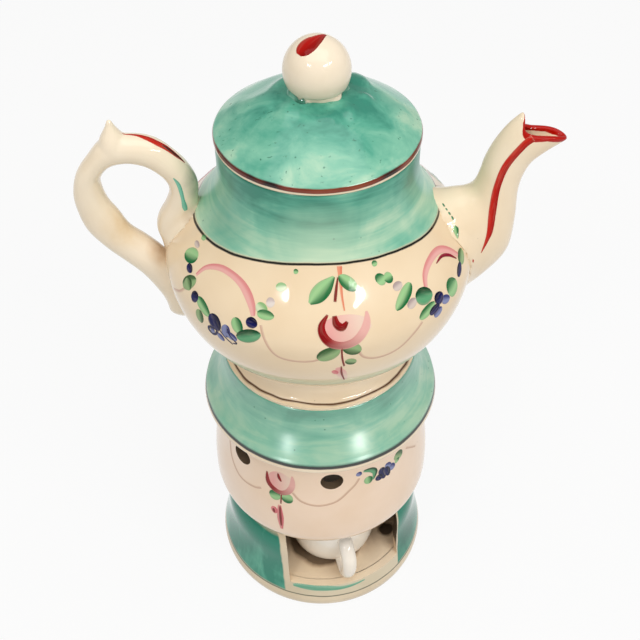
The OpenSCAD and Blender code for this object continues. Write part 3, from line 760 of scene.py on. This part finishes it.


# Painted porcelain: brushed sea-green round the pot's neck, lid, skirt and base, with fine dark lines at its edges
# The band is paler low at the front, partly thin glaze and partly painted sheen. It darkens under the lid's rim, and at
# the left of the neck by the handle, as painted shade.
pot_glaze = banded(
    "painted_porcelain_pot", [(175.7, 230, "teal", 0.35), (175, 175.6, "#14140C", 0.12)], (1 / 40, 1 / 40, 1 / 3.5),
    rise=(4.5, 0.016), pool_and_shade=(180, 198, 0.12, -0.16), gloss=0.06, dull=0.22,
    shade_and_sheen_spots=(((1, -36, 179), 21, 0.6, "#CFE2C2"), ((-27.3, -17.9, 181.8), 13, 0.6, "#4A9E85")),
    cream=("#EFD5B0", "#F6DFBD"),
)
lid_glaze = banded(
    "painted_porcelain_lid", [(mouth_z + 1.5, 240, "teal", 0.2), (mouth_z + 1.0, mouth_z + 2.4, "rim", 0.12)],
    (1 / 12, 1 / 9, 1 / 6), pool_and_shade=(203, 213, 0.06, -0.14), gloss=0.15, fleck=True,
)
lip_top_z = lip_z + lip_h
# The skirt's sea-green darkens towards its top under the pot: painted shade, partly pooled glaze.
skirt_glaze = banded(
    "painted_porcelain_skirt", [
        (lip_top_z - 0.4, seat_z - 0.2, "teal", 0.2), (lip_top_z - 0.6, lip_top_z + 0.3, "#2E5E4C", 0.5),
        (lip_top_z - 1.3, lip_top_z - 0.1, "#131C14", 0.2),
    ], (1 / 26, 1 / 26, 1 / 4), pool_and_shade=(103, 114, 0.08, -0.16), calm=0.35, gloss=0.25, IOR=1.7,
)
# The base is darker all over and most under the waist, and its cream rim is darker too, as painted shade. The dark
# patch on its right is partly thick glaze and partly painted shade.
base_glaze = banded(
    "painted_porcelain_base", [(7.4, waist_z - 1.2, "teal", 0.8), (6.8, 7.4, "#7D7C68", 0.15)],
    (1 / 7, 1 / 7, 1 / 40), pool_and_shade=(10, 36, -0.17, -0.3), door=True, shade_and_sheen_spots=(((36.5, -17, 17), 16, 0.7, "#23604E"),),
    cream=("#E0CDAF", "#EBD9BC"), IOR=1.3,
)
foot_glaze = banded("painted_porcelain_foot", [(117.15, 117.45, "#5A3A26", 0.1)], (1, 1, 1))

# Enamel painted over the glaze and fired: as glossy as the glaze, streaked where the hairs of the brush ran
enamel, tree, place, _ = open_glaze("brushed_overglaze_enamel")
paint = add(tree, "Attribute", attribute_name="paint", out="Color")
drift = add(tree, "VectorMath", (place, (0.2, 0.2, 0.2)), operation="MULTIPLY")
along = add(tree, "TexCoord", out="UV")
hair = add(tree, "VectorMath", (along, (1.5, 5, 1), drift), operation="MULTIPLY_ADD")
streak = add(tree, "TexNoise", {"Vector": hair, "Scale": 1, "Detail": 3})
thin = add(tree, "MapRange", (streak, 0.45, 0.75, 0, 0.1))
colour = add(tree, "Mix", {0: thin, 6: paint, 7: BARE}, data_type="RGBA", out=2)
fire(tree, place, colour, 0.12, 0.01, 3, IOR=1.28)

# Rows of faces across a mark, share of bare glaze at its thin rim, least half width, and thickness of its enamel
ROWS, RIM_THIN, LEAST_HALF, COAT = 8, 0.25, 0.07, 0.07
# Step in height that keeps crossing marks of one coat apart, and after how many marks it starts again
LIFT_STEP, LIFT_COUNT = 0.003, 6


def brush(line, colours, on, lift):
    """Lays one mark on a piece along points with half widths.

    One side and the far rim have its edge colour and the rest its middle colour. It is thin on that rim and at its
    ends, and runs out to a third colour, if there is one."""
    last = len(line) - 1
    bpy.ops.object.select_all(action="DESELECT")
    bpy.ops.mesh.primitive_grid_add(x_subdivisions=last, y_subdivisions=ROWS, size=1)
    mark = bpy.context.object
    edge, middle, *end, bare = (Vector(linear(c)) for c in (*colours, BARE))
    coat = mark.data.color_attributes.new("paint", "FLOAT_COLOR", "POINT").data
    for v, dot in zip(mark.data.vertices, coat):
        i, across = round((v.co.x + 0.5) * last), 2 * v.co.y
        _, spot, out, _ = on.closest_point_on_mesh(Vector(line[i][:3]) * MM)
        along = Vector(line[min(i + 1, last)][:3]) - Vector(line[max(i - 1, 0)][:3])
        _, spot, out, _ = on.closest_point_on_mesh(spot + out.cross(along).normalized() * across * line[i][3] * MM)
        v.co = spot + out * lift * MM
        dark = max(ease((across + 0.35) / 1.1), 0.45 * across ** 6)
        shade = middle.lerp(edge, 0.1 + 0.9 * dark)
        if end:
            shade = shade.lerp(end[0], within((i / last - 0.32) / 0.42))
        dot.color = shade.lerp(bare, RIM_THIN if across < -0.9 or i in (0, last) else 0)
    return mark


def radius_at(outline, z):
    """Radius of a turned wall at a height."""
    for (r0, z0), (r1, z1) in zip(outline, outline[1:]):
        if z0 <= z <= z1 and z1 > z0:
            return r0 + (r1 - r0) * (z - z0) / (z1 - z0)
    return outline[-1][0]


def around(outline, knots):
    """Points with half widths on a turned wall, from turns in degrees, heights and half widths."""
    return [
        (*ahead(math.radians(turn), radius_at(outline, z), z), max(half, LEAST_HALF))
        for turn, z, half in through(knots, 5)
    ]


def dab(turn, z, end_turn, end_z, half):
    """Knots of a plump dab of the brush from where it is set down to where it is lifted."""
    shares = ((-0.05, 0.3), (0.06, 0.95), (0.3, 1.4), (0.62, 1.4), (0.9, 0.95), (1.05, 0.25))
    return [(turn + (end_turn - turn) * t, z + (end_z - z) * t, half * w) for t, w in shares]


def thread(half, *knots):
    """Knots of a line of one width."""
    return [(turn, z, half) for turn, z in knots]


def painted(name, on, outline, body, coats):
    """Joins marks into one motif, repeats it on the back and sets it on a body; a coat is lift, colours and marks."""
    marks = []
    for lift, colours, lines in coats:
        for k, line in enumerate(lines):
            marks.append(brush(around(outline, line), colours, on, lift + LIFT_STEP * (k % LIFT_COUNT)))
    motif = join(*marks)
    begin(name)
    bpy.ops.mesh.select_all(action="SELECT")
    bpy.ops.mesh.duplicate()
    bpy.ops.transform.rotate(value=math.pi, orient_axis="Z", center_override=(0, 0, 0))
    bpy.ops.object.mode_set(mode="OBJECT")
    return fired_on(motif, body)


def fired_on(motif, body):
    """Gives a painted motif its thickness and enamel, and sets it on a body."""
    finish_with(motif, "SOLIDIFY", thickness=COAT * MM, offset=-1)
    motif.data.materials.append(enamel)
    soften(motif, 60)
    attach(motif, body)
    return motif


# Colours of the enamels, edge and middle of a stroke
LEAF, DARK_LEAF = ("#1A6C3A", "#A4D294"), ("#0A4426", "#66AC7C")
OLIVE, PALE_LEAF = ("#335C30", "#9ABA82"), ("#86B676", "#DCE4C0")
NAVY, GREY_BLUE, MAUVE = ("#03062E", "#0B1458"), ("#262F72", "#8A92BC"), ("#AE9A96", "#DACABF")
PINK, WASH, ROSE_EDGE = ("#DE8A88", "#EDB2AA"), ("#EDAFA6", "#EBA8A0", "#EFD2BE"), ("#D86C72", "#E28C8A")
ROSE_RING = ("#9C0A14", "#84040C", "#EBB2A8")
CRIMSON, MADDER = ("#980610", "#78040A"), ("#8A2C26", "#78201C")
SALMON, TENDRIL = ("#E0785A", "#E99A78"), ("#E3C5AA", "#D3AB92")

painted("pot_leaves", pot, pot_face, "teapot", [
    (0.05, LEAF, [
        dab(-60, 171.3, -67.5, 169.5, 1.65), dab(-49, 164.5, -42, 162, 1.15), dab(-31.2, 165, -28.2, 161.5, 1.25),
        dab(-23, 168, -17, 168, 1), [(6.6, 177, 0.4), (2.4, 174.9, 2.2), (-1.2, 173, 2.2), (-3.8, 171.6, 0.5)],
        dab(15.2, 173.8, 9.2, 177, 1.25), dab(25, 174, 28.7, 174.8, 1.3), dab(32.2, 174.2, 28.5, 174, 1.15),
        dab(38.3, 171, 29.4, 167.3, 1.25), dab(37.5, 162.3, 45, 164, 1.1), dab(53.5, 163, 59.5, 164, 2.1),
        dab(-65.5, 175, -62.5, 175.5, 0.6), dab(-11.5, 178, -9.5, 178, 0.5), dab(25, 178, 27.5, 178, 0.6),
    ]),
    (0.075, DARK_LEAF, [dab(-29, 160, -21, 163, 1.45), dab(38.5, 167.5, 45.5, 166.5, 1.8)]),
    (0.06, OLIVE, [
        dab(-59, 164, -54, 167.5, 1.5), dab(-58.5, 166, -54.5, 164.5, 1.2), dab(-47, 161.5, -46, 157.5, 1.2),
        dab(-0.5, 157.2, 6.3, 160.3, 1.6), dab(13.6, 158.8, 8, 161.3, 1.45), dab(12.2, 154.2, 8.8, 155.4, 0.95),
        dab(67, 165.5, 73, 167, 1.2), dab(75, 168.5, 83, 169.5, 1),
    ]),
    (0.05, PALE_LEAF, [dab(-18, 174, -14, 174.6, 0.9), dab(-24, 169.8, -20, 168.4, 1.1)]),
])
painted("pot_cornflowers", pot, pot_face, "teapot", [
    (0.06, GREY_BLUE, [
        dab(-34, 162, -34, 158, 1.1), dab(-33.5, 159.6, -29.5, 158.6, 0.9), dab(-37.5, 157.6, -35.2, 155.6, 0.8),
        dab(44, 160, 48, 161, 1), dab(49, 163, 53, 161.5, 1), dab(-40.9, 157.5, -39.1, 157.5, 0.9),
    ]),
    (0.05, MAUVE, [dab(-67, 173, -63, 173, 0.6), dab(31, 171.5, 35, 172, 0.9), dab(34, 166.5, 38, 167.5, 0.9)]),
    (0.05, ("#C6B2AC", "#E8DCD2"), [dab(-20.6, 170.6, -17.6, 171, 1)]),
    (0.09, NAVY, [
        dab(-41, 162.8, -37, 159.2, 1.6), dab(-62, 168.5, -58, 168, 0.8), dab(-52.5, 163.8, -49, 164.2, 1.2),
        dab(-26.5, 165.6, -22.5, 165.2, 1.1), dab(46, 163.5, 50, 164.8, 1.3), dab(42, 161.8, 47, 162.5, 0.9),
        dab(62, 164, 67, 165.8, 0.8), thread(0.2, (-36.6, 159.4), (-34, 157.4), (-31.2, 156)),
        thread(0.22, (-33.4, 161.4), (-32.2, 159.2), (-29.6, 157.2), (-31, 156.6)),
        thread(
            0.42, (-37.6, 158.6), (-39.4, 159), (-41.6, 158.2), (-41.8, 156.8), (-40.2, 156), (-38.6, 156.8),
            (-37.6, 158.6),
        ),
    ]),
])
painted("pot_roses", pot, pot_face, "teapot", [
    (0.04, WASH, [dab(0.8, 165.5, 17.6, 166, 2.9), [(6, 152.5, 0.6), (7.5, 149, 1.6), (9.5, 143.5, 0.5)]]),
    (0.07, ROSE_EDGE, [dab(4.5, 151, 6, 149, 0.6)]),
    (0.095, ROSE_RING, [[
        (3, 169.3, 0.3), (0.7, 167, 0.95), (1.3, 164.5, 1.2), (4, 162.3, 1.25), (8, 161.5, 1.2), (12, 162.3, 1.3),
        (15.4, 164.6, 1.3), (17.2, 167, 1), (17.6, 169, 0.3),
    ]]),
    (0.1, CRIMSON, [[(5.5, 169, 0.6), (6, 167.2, 1.1), (8, 166.3, 1.1), (10, 167.5, 0.4)]]),
    (0.05, SALMON, [[(9.5, 179.2, 0.75), (9.3, 176.5, 0.5), (9.1, 173, 0.32), (9.4, 169.8, 0.2)]]),
    (0.085, MADDER, [
        [(8.2, 176.8, 0.15), (7.1, 174.4, 0.4), (6.1, 171.8, 0.42)], thread(0.28, (7.3, 161), (7.5, 157), (8.3, 153)),
        [(7.3, 153, 0.2), (7.6, 149, 0.32), (9, 144, 0.2)],
    ]),
])
painted("pot_ribbons", pot, pot_face, "teapot", [
    (0.04, PINK, [
        [(-55, 168.5, 0.5), (-53, 171, 0.7), (-49, 172.6, 0.9), (-44, 173.4, 1), (-38, 173.3, 1.05),
         (-33, 172.5, 1.2), (-29, 171, 1.3), (-26, 169, 1.1), (-24.5, 167, 0.6)],
        [(44, 168, 0.6), (46.5, 170.5, 0.9), (51, 172, 1.1), (57, 172.6, 1.2), (62, 172, 1.2), (66, 170, 1.1),
         (69, 167, 0.7)],
    ]),
    (0.08, ("#9A1838", "#7A0C22"), [[(55, 170.8, 0.15), (60, 170.9, 0.5), (64, 169.5, 0.5), (66.5, 167.3, 0.2)]]),
    (0.03, TENDRIL, [
        thread(0.42, (-21, 165.5), (-19, 162), (-16, 158), (-13, 156.2), (-8, 155.6), (-3, 156), (0, 157)),
        thread(0.45, (-57, 164), (-60, 161), (-66, 158)),
        thread(0.45, (13, 159), (15, 156), (19, 154.2), (24, 154), (29, 155.3), (34, 158.5), (38, 161)),
    ]),
])
bulb_face = bulb_side(0)
painted("stand_flowers", bulb, bulb_face, "stand", [
    (0.04, WASH, [dab(-28.2, 79, -15, 79.3, 3.7)]),
    (0.05, LEAF, [
        dab(-27.5, 71, -21.8, 72, 1.7), dab(-15, 71.6, -20.8, 71.8, 1.7), dab(25, 80.5, 25.5, 77, 1.2),
        dab(43.5, 80.8, 45, 79.4, 0.9),
    ]),
    (0.06, DARK_LEAF, [[(22.5, 84.5, 0.5), (27, 83.6, 1.2), (29.2, 81.5, 1.1), (28, 78, 0.3)]]),
    (0.05, OLIVE, [dab(43, 83.5, 48, 81, 1.6)]),
    (0.07, GREY_BLUE, [dab(38, 80, 42, 78, 1.2), dab(36, 82, 39.5, 80.5, 0.9), dab(19, 84.5, 21, 83, 0.8)]),
    (0.09, NAVY, [dab(33.2, 81.6, 34.8, 76, 1.2), dab(36, 80.8, 37.8, 76, 1), dab(30.4, 78.6, 33, 76.4, 1.1)]),
    (0.09, CRIMSON, [[(-23, 83.7, 0.3), (-22.5, 81.6, 0.6), (-21.2, 79.8, 0.3)]]),
    (0.085, ROSE_RING, [[
        (-29.5, 82.5, 0.3), (-29, 78, 0.9), (-26.5, 75.3, 1.1), (-22, 73.9, 1.1), (-18, 75, 1.2), (-15.6, 78, 1.2),
        (-15, 81.5, 0.8), (-15.3, 84, 0.3),
    ]]),
    (0.065, ROSE_EDGE, [[(-22, 67, 0.6), (-21.5, 60, 1.3), (-21, 53, 0.5)], dab(-25.3, 65, -24.5, 61.6, 0.9)]),
    (0.08, MADDER, [
        thread(0.26, (-21, 74), (-21.3, 68)), [(-21.8, 66.5, 0.3), (-21.4, 60, 0.5), (-21.1, 55, 0.3)],
        dab(-25.4, 64, -24.9, 61.8, 0.35),
    ]),
    (0.03, TENDRIL, [
        thread(0.5, (-58, 83), (-56, 76), (-50, 71), (-44, 69.8), (-37, 70.5), (-33, 72)),
        thread(0.5, (-15, 75.5), (-11, 72), (-5, 70.3), (1, 70.3), (8, 72), (14, 76), (18, 79), (20, 81.5)),
        thread(0.45, (52, 82), (57, 79), (62, 76)),
    ]),
])

# One green stroke under the door sill
sill_stroke = brush(
    around(base_side(0), [
        (-17, 11.6, 0.6), (-12, 12.2, 1.6), (-5, 12, 1.8), (3, 11.6, 1.5), (10, 11, 1), (17, 11, 0.7), (25, 11.6, 0.3),
    ]), ("#8FC0A4", "#66A88A"), base, 0.05
)
sill_stroke.name = sill_stroke.data.name = "sill_stroke"
fired_on(sill_stroke, "stand")


def trailed(name, on, body, marks):
    """Joins free marks on a piece into one motif; a mark is lift, colours and points with half widths."""
    motif = join(*(brush(through(knots, 5), colours, on, lift) for lift, colours, knots in marks))
    motif.name = motif.data.name = name
    return fired_on(motif, body)


RED, DARK_RED, SEA = ("#A80A00", "#C81A04"), ("#5E120C", "#3E0C0A"), ("#5FAE94", "#86CBB0")
spout_line = [
    (61.3, -3.4, 199.9, 1.15), (58.7, -3.9, 197.6, 1.1), (54.6, -4.5, 191.1, 1.1), (52.8, -5.3, 184.1, 1.05),
    (52.3, -6.4, 177.2, 1.15), (52.1, -8, 169.9, 1.05), (51.4, -8.8, 166.7, 0.7), (50, -9.8, 162.3, 0.12),
]
trailed("spout_red_lines", spout, "teapot", [
    (0.05, RED, spout_line),
    (0.05, RED, [(47.2, -11.9, 161.6, 0.1), (47.4, -11.9, 160.9, 0.4), (47.6, -11.8, 160.2, 0.1)]),
    (0.05, RED, [(x, -y, z, half) for x, y, z, half in spout_line]),
])
dashes = [
    [(37.4, -4, 177.2, 0.15), (37.7, -4.5, 176.9, 0.26), (38, -4.9, 176.6, 0.15)],
    [(38.3, -5.3, 176.4, 0.15), (38.5, -5.6, 176.2, 0.24), (38.8, -5.9, 176, 0.15)],
    [(39.1, -6.3, 175.7, 0.15), (39.4, -6.6, 175.4, 0.28), (39.7, -6.9, 175.1, 0.15)],
    [(40, -7.1, 174.8, 0.15), (40.3, -7.5, 174.4, 0.28), (40.6, -7.9, 174, 0.15)],
]
trailed("spout_root_leaves", spout, "teapot", [
    *((0.05, DARK_LEAF, dash) for dash in dashes),
    (0.05, LEAF, [
        (41, -9, 172.7, 0.2), (41.2, -9.6, 172, 0.95), (41.5, -10.4, 171.1, 0.85), (41.9, -11.5, 169.7, 0.15),
    ]),
])
trailed("handle_strokes", handle, "teapot", [
    (0.05, RED, [
        (-56.5, 0.5, 199.9, 0.1), (-52.5, 0.3, 199.9, 0.45), (-49.3, -0.4, 199.3, 0.85), (-46.3, -0.9, 197.9, 1),
        (-43.4, -0.6, 195.6, 1), (-41.1, -0.6, 193.1, 0.7), (-39.1, -0.5, 190.5, 0.12),
    ]),
    (0.08, DARK_RED, [
        (-45, -0.8, 197, 0.1), (-43.4, -0.6, 195.6, 0.5), (-41.1, -0.6, 193.1, 0.5), (-39.3, -0.5, 190.7, 0.1),
    ]),
    (0.05, SEA, [
        (-42.4, -4.4, 188, 0.15), (-41.2, -4.6, 185.9, 0.55), (-40.6, -4.9, 183.2, 0.6), (-40.3, -5.2, 180.4, 0.55),
        (-40.1, -5.1, 177.8, 0.8), (-39.9, -5, 176.3, 0.5),
    ]),
])
trailed("knob_drop", knob, "lid", [
    (0.05, ("#8E0602", "#B81004"), [
        (2.4, 2.2, 229.5, 0.4), (0.3, -0.6, 230.1, 1.7), (-1.2, -1.9, 229.9, 2.5), (-2.8, -3.1, 229.2, 2.8),
        (-4.1, -4, 228.2, 2.2), (-4.8, -4.5, 227.5, 0.9),
    ]),
])

# Porcelain spout under clear glaze, its pouring rim lined in red with a loaded brush
spout_glaze, tree, place, _ = open_glaze("red_lined_porcelain_spout")
depth = add(tree, "Attribute", attribute_name="rim_depth", out="Fac")
hand = add(tree, "TexNoise", {"Vector": place, "Scale": 1 / 2.5})
edge = add(tree, "Math", (hand, 0.9, depth), operation="MULTIPLY_ADD")
lined = add(tree, "MapRange", (edge, 1.5, 1.75, 1, 0))
colour = add(tree, "Mix", {0: lined, 6: cream_of(tree, place), 7: "#B41204"}, data_type="RGBA", out=2)
fire(tree, place, colour, IOR=1.35)

# Porcelain knob: cream glaze, with the lid's sea-green glaze run up unevenly round its neck
knob_glaze, tree, place, (_, _, z) = open_glaze("glaze_run_porcelain_knob")
run = add(tree, "TexNoise", {"Vector": place, "Scale": 1 / 4, "Detail": 3})
edge = add(tree, "Math", (run, -5, z), operation="MULTIPLY_ADD")
clear = near_spot(tree, place, (2.5, -9, crown_z), 6.5, 3.5, 3)
edge = add(tree, "Math", (edge, clear))
wet = add(tree, "MapRange", (edge, crown_z - 1.4, crown_z - 0.8, 1, 0))
shade = add(tree, "ValToRGB", (run,), [(0.35, "#2F6E58"), (0.65, "#72B89C")])
cream = cream_of(tree, place, "#F6E4C8", "#FBEBD3")
fire(tree, place, add(tree, "Mix", {0: wet, 6: cream, 7: shade}, data_type="RGBA", out=2), 0.12)

# Porcelain handle: the same glaze over a paler cream, partly painted light, with amber stains where tea crept into the
# crazing at its roots, and a dark green spot at its upper root, partly green glaze and partly painted shade by the neck
handle_glaze, tree, place, _ = open_glaze("tea_stained_porcelain_handle")
colour = cream_of(tree, place, "#F7E3C4", "#FDEDD4")
cloud = add(tree, "TexNoise", {"Vector": place, "Scale": 1 / 3, "Detail": 4})
for spot, wide, tint in (
    ((-48, -3, 159), 7, "#B98746"), ((-37, -4, 173), 5, "#A9814E"), ((-38, 0, 184), 6, "#2C5442"),
    ((-60, -2, 168), 9, "#E6C796"),
):
    near = near_spot(tree, place, spot, wide, wide * 0.25, 1)
    stain_and_shade = add(tree, "Math", (near, cloud), operation="MULTIPLY")
    colour = add(tree, "Mix", {0: stain_and_shade, 6: colour, 7: tint}, data_type="RGBA", out=2)
fire(tree, place, colour)

# Cut cork: dull and warm, with pale and dark cells a millimetre across
cork_bark, tree, place, _ = open_glaze("cut_cork")
cell = add(tree, "TexVoronoi", {"Vector": place, "Scale": 1 / 1.1})
pore = add(tree, "TexNoise", {"Vector": place, "Scale": 1 / 0.7, "Detail": 4})
mix = add(tree, "Mix", {0: 0.5, 2: cell, 3: pore})
colour = add(tree, "ValToRGB", (mix,), [(0.25, "#7A5230"), (0.65, "#C79A66")])
fire(tree, place, colour, 0.8, 0.12, 0.8)

# Tinplate, stamped and dulled by lamp oil: soft mirror with brown heat stains
tinplate, tree, place, _ = open_glaze("stamped_tinplate")
cloud = add(tree, "TexNoise", {"Vector": place, "Scale": 1 / 2, "Detail": 4})
colour = add(tree, "ValToRGB", (cloud,), [(0.35, "#8E8274"), (0.65, "#BEBDB8")])
fire(tree, place, colour, 0.35, 0.02, 1.5, Metallic=1.0)

# Braided cotton wick, charred black at its tip; the braid is drawn about 0.9 mm so that it shows
cotton, tree, place, (_, _, z) = open_glaze("charred_cotton_wick")
braid = add(tree, "TexWave", {"Vector": place, "Scale": 0.35, "Distortion": 1.5}, bands_direction="DIAGONAL")
colour = add(tree, "ValToRGB", (braid,), [(0.2, "#C9B99A"), (0.8, "#EFE6D2")])
char = add(tree, "MapRange", (z, wick_top_z - 3, wick_top_z - 1.2))
fire(tree, place, add(tree, "Mix", {0: char, 6: colour, 7: "#17130F"}, data_type="RGBA", out=2), 0.9, 0.1, 0.6)

# Chamber: glaze smoked brown by the lamp, with painted shade that makes it darkest at the back, under the waist, on the
# spout's side and round the cup, and a near-black spot of painted shadow at the right of the doorway
smoked_and_shaded, tree, place, (x, y, z) = open_glaze("lamp_smoked_and_shaded_porcelain")
cloud = add(tree, "TexNoise", {"Vector": place, "Scale": 1 / 11, "Detail": 5})
patch = add(tree, "MapRange", (cloud, 0.35, 0.65, 0.2, 1))
deep = add(tree, "MapRange", (y, -30, -4, 0.2, 1))
high = add(tree, "MapRange", (z, 34, 46, 0, 0.9))
side = add(tree, "MapRange", (x, 13, 20, 0, 0.97))
above = add(tree, "MapRange", (z, floor_z + 1.5, floor_z + 7))
side = add(tree, "Math", (side, above), operation="MULTIPLY")
high = add(tree, "Math", (side, high), operation="MAXIMUM")
stain_and_shade = add(tree, "Math", (deep, patch), operation="MULTIPLY")
# Dark rings on the floor: soot and painted shadow round the cup, and painted shadow for the dark inside at the right
for spot, wide, black in (((cup_x - 2.5, cup_y + 0.5, floor_z), cup_r, 0.85), ((27, -14.5, floor_z), 4.4, 0.95)):
    far = add(tree, "VectorMath", (place, spot), operation="DISTANCE", out="Value")
    ragged = add(tree, "Math", (cloud, 5, far), operation="MULTIPLY_ADD")
    ring = add(tree, "MapRange", (ragged, wide + 0.5, wide + 3, black, 0))
    stain_and_shade = add(tree, "Math", (stain_and_shade, ring), operation="MAXIMUM")
soot_and_shade = add(tree, "Math", (stain_and_shade, high), operation="MAXIMUM")
shade = add(tree, "ValToRGB", (soot_and_shade,), [(0.3, "#9C6E40"), (1, "#140C08")])
colour = add(tree, "Mix", {0: soot_and_shade, 6: cream_of(tree, place), 7: shade}, data_type="RGBA", out=2)
fire(tree, place, colour, 0.25, IOR=1.2)


def line_inside(piece, outline, glaze, margin=0.45):
    """Gives the faces that lie a margin or more behind a turned wall's outer face their own glaze."""
    piece.data.materials.append(glaze)
    for face in piece.data.polygons:
        x, y, z = face.center / MM
        face.material_index = int(math.hypot(x, y) < radius_at(outline, z) - margin)


for piece, glaze, body, slot, node in (
    (base, base_glaze, "stand", "glaze_teal", "stand_base"), (floor, smoked_and_shaded, "stand", "glaze_cream", "stand_floor"),
    (bulb, rosy, "stand", "glaze_cream", "stand_bulb"), (skirt, skirt_glaze, "stand", "glaze_teal", "stand_skirt"),
    (pot, pot_glaze, "teapot", "glaze_cream", "pot_body"), (foot, foot_glaze, "teapot", "glaze_cream", "pot_foot_ring"),
    (spout, spout_glaze, "teapot", "glaze_cream", "pot_spout"),
    (handle, handle_glaze, "teapot", "glaze_cream", "pot_handle"),
    (lid, lid_glaze, "lid", "glaze_teal", "lid_dome"), (flange, plain, "lid", "glaze_cream", "lid_flange"),
    (knob, knob_glaze, "lid", "glaze_cream", "lid_knob"), (cup, white, "godet", "glaze_cream", "godet_cup"),
    (strap, white, "godet", "glaze_cream", "godet_handle"), (cork, cork_bark, "wick_float", "cork", "float_cork"),
    (tin, tinplate, "wick_float", "tin", "float_disc"), (wick, cotton, "wick_float", "cotton", "float_wick"),
):
    piece.data.materials.append(glaze)
    soften(piece)
    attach(piece, body)
    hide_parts(node)
line_inside(base, [(underside_r, 0), *base_side(0)], smoked_and_shaded)
line_inside(bulb, bulb_face, smoked_and_shaded)
line_inside(skirt, [
    (bulb_top_r, lip_z), (lip_r, lip_top_z), *bell_side(0)[1:], (heat_r, seat_z), (heat_r, locator_z),
], plain)
line_inside(pot, pot_face, plain)
line_inside(lid, [(lid_r, mouth_z), *dome_side(0)], plain, 2.4)

# Camera of the photograph: it looks down steeply at the front
photo = bpy.data.cameras.new("photo")
photo.sensor_width, photo.lens = 36, 52.54
camera = bpy.data.objects.new("photo", photo)
bpy.context.collection.objects.link(camera)
camera.location = (0.00013, -0.22638, 0.35322)
camera.rotation_mode = "QUATERNION"
tip, lean = math.radians(44.6), math.radians(-0.6)
camera.rotation_quaternion = Quaternion((1, 0, 0), tip) @ Quaternion((0, 0, 1), lean)
bpy.context.scene.camera = camera

# Pale floor, a soft white room, a ceiling lamp and two windows, which the glaze mirrors
bpy.ops.object.select_all(action="DESELECT")
bpy.ops.mesh.primitive_plane_add(size=6)
ground = bpy.context.object
ground.name = "pale_floor"
# White paper sweep: dull and even; the camera and mirrors see it lit to white, with the shadow kept
paper, tree, place, _ = open_glaze("white_paper_sweep")
pulp = add(tree, "TexNoise", {"Vector": place, "Scale": 1 / 60})
tone = add(tree, "ValToRGB", (pulp,), [(0, "#DCDCDA"), (1, "#E2E2E0")])
ray = add(tree, "LightPath", out=None)
seen = add(tree, "Math", (ray["Is Camera Ray"], ray["Is Glossy Ray"]), operation="MAXIMUM")
seen = add(tree, "Math", (seen, ray["Is Transmission Ray"]), operation="MAXIMUM")
paper_white = 0.9
share = add(tree, "Math", (seen, paper_white), operation="MULTIPLY")
dull = add(tree, "BsdfDiffuse", {"Color": tone})
lit = add(tree, "Emission", {"Color": "#FFFFFF", "Strength": 1})
sheet = add(tree, "MixShader", (share, dull, lit))
add(tree, "OutputMaterial", (sheet,), out=None)
ground.data.materials.append(paper)
ground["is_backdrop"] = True

world = bpy.data.worlds.new("white_room")
bpy.context.scene.world = world
world.use_nodes = True
room_colour, room_light = world.node_tree.nodes["Background"].inputs[:2]
room_colour.default_value = linear("#FFFFFF")
room_light.default_value = 0.38

# Height that the lamps face, in metres
AIM_Z = 0.13


def window(name, turn, height, far, wide, tall, power, gloss_on=None):
    """Oblong lamp that faces the teapot from a turn and a height in degrees, with sizes in metres.

    It may be a strip that gives no light but a gloss on one piece."""
    lamp = bpy.data.lights.new(name, "AREA")
    lamp.shape, lamp.size, lamp.size_y, lamp.energy = "RECTANGLE", wide, tall, power
    hung = bpy.data.objects.new(name, lamp)
    bpy.context.collection.objects.link(hung)
    up = math.radians(height)
    way = ahead(math.radians(turn), math.cos(up), math.sin(up))
    hung.location = Vector((0, 0, AIM_Z)) + way * far
    hung.rotation_euler = way.to_track_quat("Z", "Y").to_euler()
    if gloss_on:
        hung.visible_diffuse = False
        hung.light_linking.receiver_collection = bpy.data.collections.new(name)
        hung.light_linking.receiver_collection.objects.link(gloss_on)


window("left_window", -33, 42.4, 1.0, 0.16, 0.024, 1.4)
window("right_window", 46, 41.2, 1.0, 0.5, 0.024, 2.8)
window("left_strip", -29, 8, 1.0, 0.12, 0.5, 2.4, skirt)
window("right_strip", 34, 8, 1.0, 0.15, 0.5, 3.2, skirt)
window("ceiling", 0, 78, 1.2, 1.5, 0.9, 6.8)
bpy.context.scene.view_settings.view_transform = "Standard"

low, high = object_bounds()
